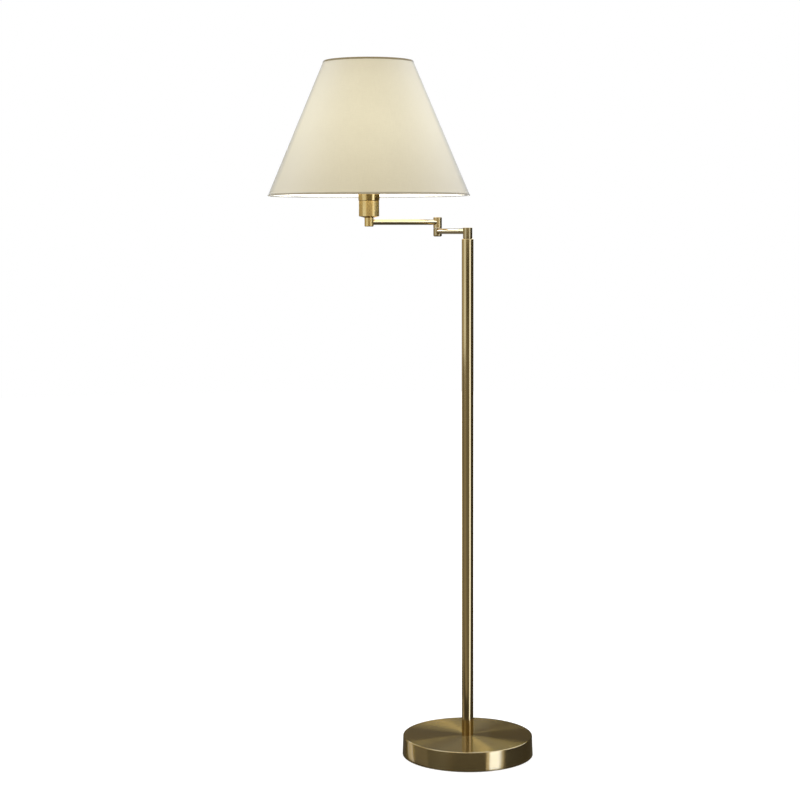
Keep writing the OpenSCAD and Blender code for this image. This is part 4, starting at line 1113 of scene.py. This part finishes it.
@dataclass
class Shade:
    """The cone shade: cloth on a stiff lining, bound edges, wire rings and fitter."""

    foot: float
    top: float
    foot_radius: float
    top_radius: float
    cloth: float = 0.45 * MM
    lap: float = 12 * MM
    lap_angle: float = 78.0
    hem: float = 4.0 * MM
    tape: float = 0.32 * MM
    steps: int = 288
    rows: int = 36

    @classmethod
    def from_frame(cls) -> "Shade":
        """The shade with the sizes of its CAD nodes: its hems give its ends, its cover its slope."""
        foot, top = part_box("shade_bottom_hem")[0].z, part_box("shade_top_hem")[1].z
        rims = {}
        for point in frame["nodes"]["shade_cover"].data.vertices:
            height = round(point.co.z, 5)
            rims[height] = max(rims.get(height, 0.0), (point.co.xy - HOLDER_AXIS.xy).length)
        low, high = min(rims), max(rims)
        slope = (rims[low] - rims[high]) / (high - low)
        return cls(foot, top, rims[low] + slope * (low - foot), rims[high] - slope * (top - high))

    @property
    def slope(self) -> float:
        """How fast the radius grows downward."""
        return (self.foot_radius - self.top_radius) / (self.top - self.foot)

    @property
    def side(self) -> float:
        """How long the cone's side is for each metre of its height."""
        return math.hypot(1.0, self.slope)

    def radius(self, height: float) -> float:
        """The cloth's outer radius at a height."""
        return self.foot_radius - self.slope * (height - self.foot)

    def reach(self, height: float) -> float:
        """How far down the side a height lies from where the side would meet the cone's axis."""
        return (self.foot + self.foot_radius / self.slope - height) * self.side

    def flat(self, angle: float, height: float) -> tuple[float, float]:
        """Where a point of the cloth lay in its flat cut, in metres.

        Args:
            angle: The point's angle round the shade, from the seam.
            height: The point's height.

        Returns:
            Its two flat coordinates.
        """
        reach = self.reach(height)
        turn = angle * self.slope / self.side - math.pi * self.slope / self.side
        return reach * math.sin(turn), -reach * math.cos(turn)

    def build_cloth(self, cloth: Material) -> Object:
        """Makes the cloth as one sheet that laps over itself at the seam.

        Args:
            cloth: Its finish.

        Returns:
            The cloth.
        """
        low, high = self.foot + 0.3 * MM, self.top - 0.3 * MM
        rows = self.rows
        start = math.radians(self.lap_angle)
        points: list[Vector] = []
        spots: list[tuple[float, float]] = []
        for i in range(self.steps + 1):
            share = i / self.steps
            for face in range(2):
                for k in range(rows + 1):
                    height = low + (high - low) * k / rows
                    over = self.lap / self.radius(height)
                    angle = (TURN + over) * share
                    # The last stretch climbs over the first one by the cloth's thickness
                    climb = min(1.0, max(0.0, (angle - TURN + over * 0.8) / (over * 0.8)))
                    lift = self.cloth * 1.05 * climb * climb * (3 - 2 * climb)
                    radius = self.radius(height) - 0.08 * MM - face * self.cloth + lift
                    spot = Vector((math.cos(angle) * 6, math.sin(angle) * 6, height * 22))
                    radius += 0.05 * MM * noise.noise(spot)
                    points.append(HOLDER_AXIS + heading(start + angle) * radius + UP * height)
                    spots.append(self.flat(angle, height))
        ring = 2 * (rows + 1)
        loop = [*range(rows + 1), *range(ring - 1, rows, -1), 0]
        faces = join([[i * ring + k for k in loop] for i in range(self.steps + 1)])
        for i in (0, self.steps):
            faces += [
                [i * ring + k, i * ring + k + 1, i * ring + rows + 2 + k, i * ring + rows + 1 + k]
                for k in range(rows)
            ]
        piece = new_piece("shade_cloth", (points, faces), "upper_arm")
        lay_flat(piece, spots)
        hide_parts("shade_cover")
        piece.data.materials.append(cloth)
        return piece

    def build_hem(self, node: str, name: str, edge: float, inward: float, tape: Material) -> Object:
        """Makes the tape that is folded over an edge, with its rolled turn and stitched leg.

        Args:
            node: The CAD node that it stands for.
            name: The piece's name.
            edge: The height of the shade's edge.
            inward: 1 where the tape runs up from the edge, -1 where it runs down.
            tape: Its finish.

        Returns:
            The tape.
        """
        thick, side = self.tape, self.side

        def at(depth: float, run: float) -> tuple[float, float]:
            """A point at a depth inside the cloth's face and a run from the edge."""
            height = edge + inward * run
            return self.radius(height) - depth * side, height

        def outline(angle: float) -> Outline:
            """The folded tape's section at an angle."""
            spot = Vector((math.cos(angle), math.sin(angle), edge * 9)) * 9
            leg = self.hem + 0.12 * MM * noise.noise(spot)
            stitch = 0.1 * MM * max(0.0, math.cos(angle * 210)) ** 4
            puff = 0.12 * MM + stitch * 0.5
            return [
                at(0.03 * MM, 0.5 * MM), at(0.03 * MM, leg), at(-0.08 * MM, leg + 0.12 * MM),
                at(-thick, leg - 0.05 * MM), at(-thick - puff, leg - 0.9 * MM),
                at(-thick + stitch, leg - 1.5 * MM), at(-thick - puff, leg - 2.1 * MM),
                at(-thick - 0.05 * MM, 0.7 * MM), at(-0.1 * MM, 0.14 * MM),
                at(0.45 * MM, 0.0), at(1.1 * MM, 0.06 * MM), at(1.5 * MM, 0.3 * MM),
                at(1.48 * MM, 0.55 * MM), at(1.2 * MM, 0.52 * MM), at(0.6 * MM, 0.34 * MM),
            ]

        piece = new_piece(name, revolve(outline, HOLDER_AXIS, 720), "upper_arm")
        spots = [point.co - HOLDER_AXIS for point in piece.data.vertices]
        lay_flat(piece, [self.flat(math.atan2(spot.y, spot.x), spot.z) for spot in spots])
        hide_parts(node)
        piece.data.materials.append(tape)
        return piece

    def build(self) -> None:
        """Makes and dresses the shade."""
        ends = (self.foot, self.top)
        cloth = self.build_cloth(ShadeCloth().make("shade_cloth", *ends))
        # One tape in two painted copies: darker at the top as painted shade, paler at the foot as
        # painted light, each with a faint painted glow
        dark = ShadeCloth((0.24, 0.185, 0.08), (0.18, 0.135, 0.055), (0.25, 0.195, 0.09), glow=0.03)
        pale = ShadeCloth((0.34, 0.285, 0.18), (0.29, 0.24, 0.145), (0.37, 0.32, 0.22), glow=0.06)
        foot_tape, top_tape = pale.make("shade_tape_foot", *ends), dark.make("shade_tape_top", *ends)
        hems = [
            self.build_hem("shade_bottom_hem", "hem_foot", self.foot, 1.0, foot_tape),
            self.build_hem("shade_top_hem", "hem_top", self.top, -1.0, top_tape),
        ]
        white = Moulding((0.8, 0.8, 0.77), (0.76, 0.76, 0.73), 0.3, coat=0.3)
        dress_nodes(white.make("white_lacquer"), "shade_fitter", "shade_top_ring")
        dress_nodes(Lining().make("shade_lining", *ends), "shade_liner")


def clear_defaults() -> None:
    """Removes the camera, lamp and cube that Blender starts with."""
    kept = {*frame["nodes"].values(), *frame["bodies"].values()}
    for thing in list(bpy.data.objects):
        if thing not in kept:
            bpy.data.objects.remove(thing)


def main() -> None:
    """Builds the studio and the lamp, from the floor up."""
    logging.basicConfig(level=logging.INFO, format="%(name)s: %(message)s")
    clear_defaults()
    Studio().build()
    pole_brass = TURNED_BRASS.make("brass_pole", POLE_AXIS)
    # The cup's brass is painted yellower, as painted warm light from the bulb
    bulb_lit_holder_brass = BULB_LIT_HOLDER_BRASS.make("bulb_lit_brass_holder", HOLDER_AXIS)
    steel = PlainMetal((0.55, 0.56, 0.58), (0.42, 0.43, 0.45), 0.35).make("zinc_steel")
    bright = PlainMetal((0.6, 0.43, 0.16), (0.46, 0.31, 0.1), 0.25).make("bright_brass")
    black = Moulding((0.016, 0.016, 0.017), (0.01, 0.01, 0.011), 0.28, coat=0.2)
    plastic = black.make("black_plastic")
    rubber = Moulding((0.02, 0.02, 0.021), (0.012, 0.012, 0.013), 0.6, Skin.GRAINED)
    sheath = rubber.make("lead_sheath")
    Base().build(steel, plastic, bright)
    Pole().build(pole_brass, steel, sheath)
    shoulder = (("shoulder_end_cap",), ("shoulder_barrel", "shoulder_washer"))
    Swivel("shoulder", POLE_AXIS, *shoulder).build(bright, steel)
    Arm("lower_arm", POLE_AXIS, ELBOW_AXIS).build(sheath)
    elbow = (("elbow_upper_barrel", "elbow_end_cap"), ("elbow_lower_barrel", "elbow_bottom_cap"))
    Swivel("elbow", ELBOW_AXIS, *elbow).build(bright, steel)
    dress_nodes(NYLON.make("nylon_washer"), "elbow_washer")
    Arm("upper_arm", ELBOW_AXIS, HOLDER_AXIS).build(sheath)
    Lampholder().build(bulb_lit_holder_brass, bright, steel, plastic)
    Bulb().build()
    Shade.from_frame().build()
    log.info("lamp: %d nodes in place", len(frame["nodes"]))


if __name__ == "__main__":
    main()
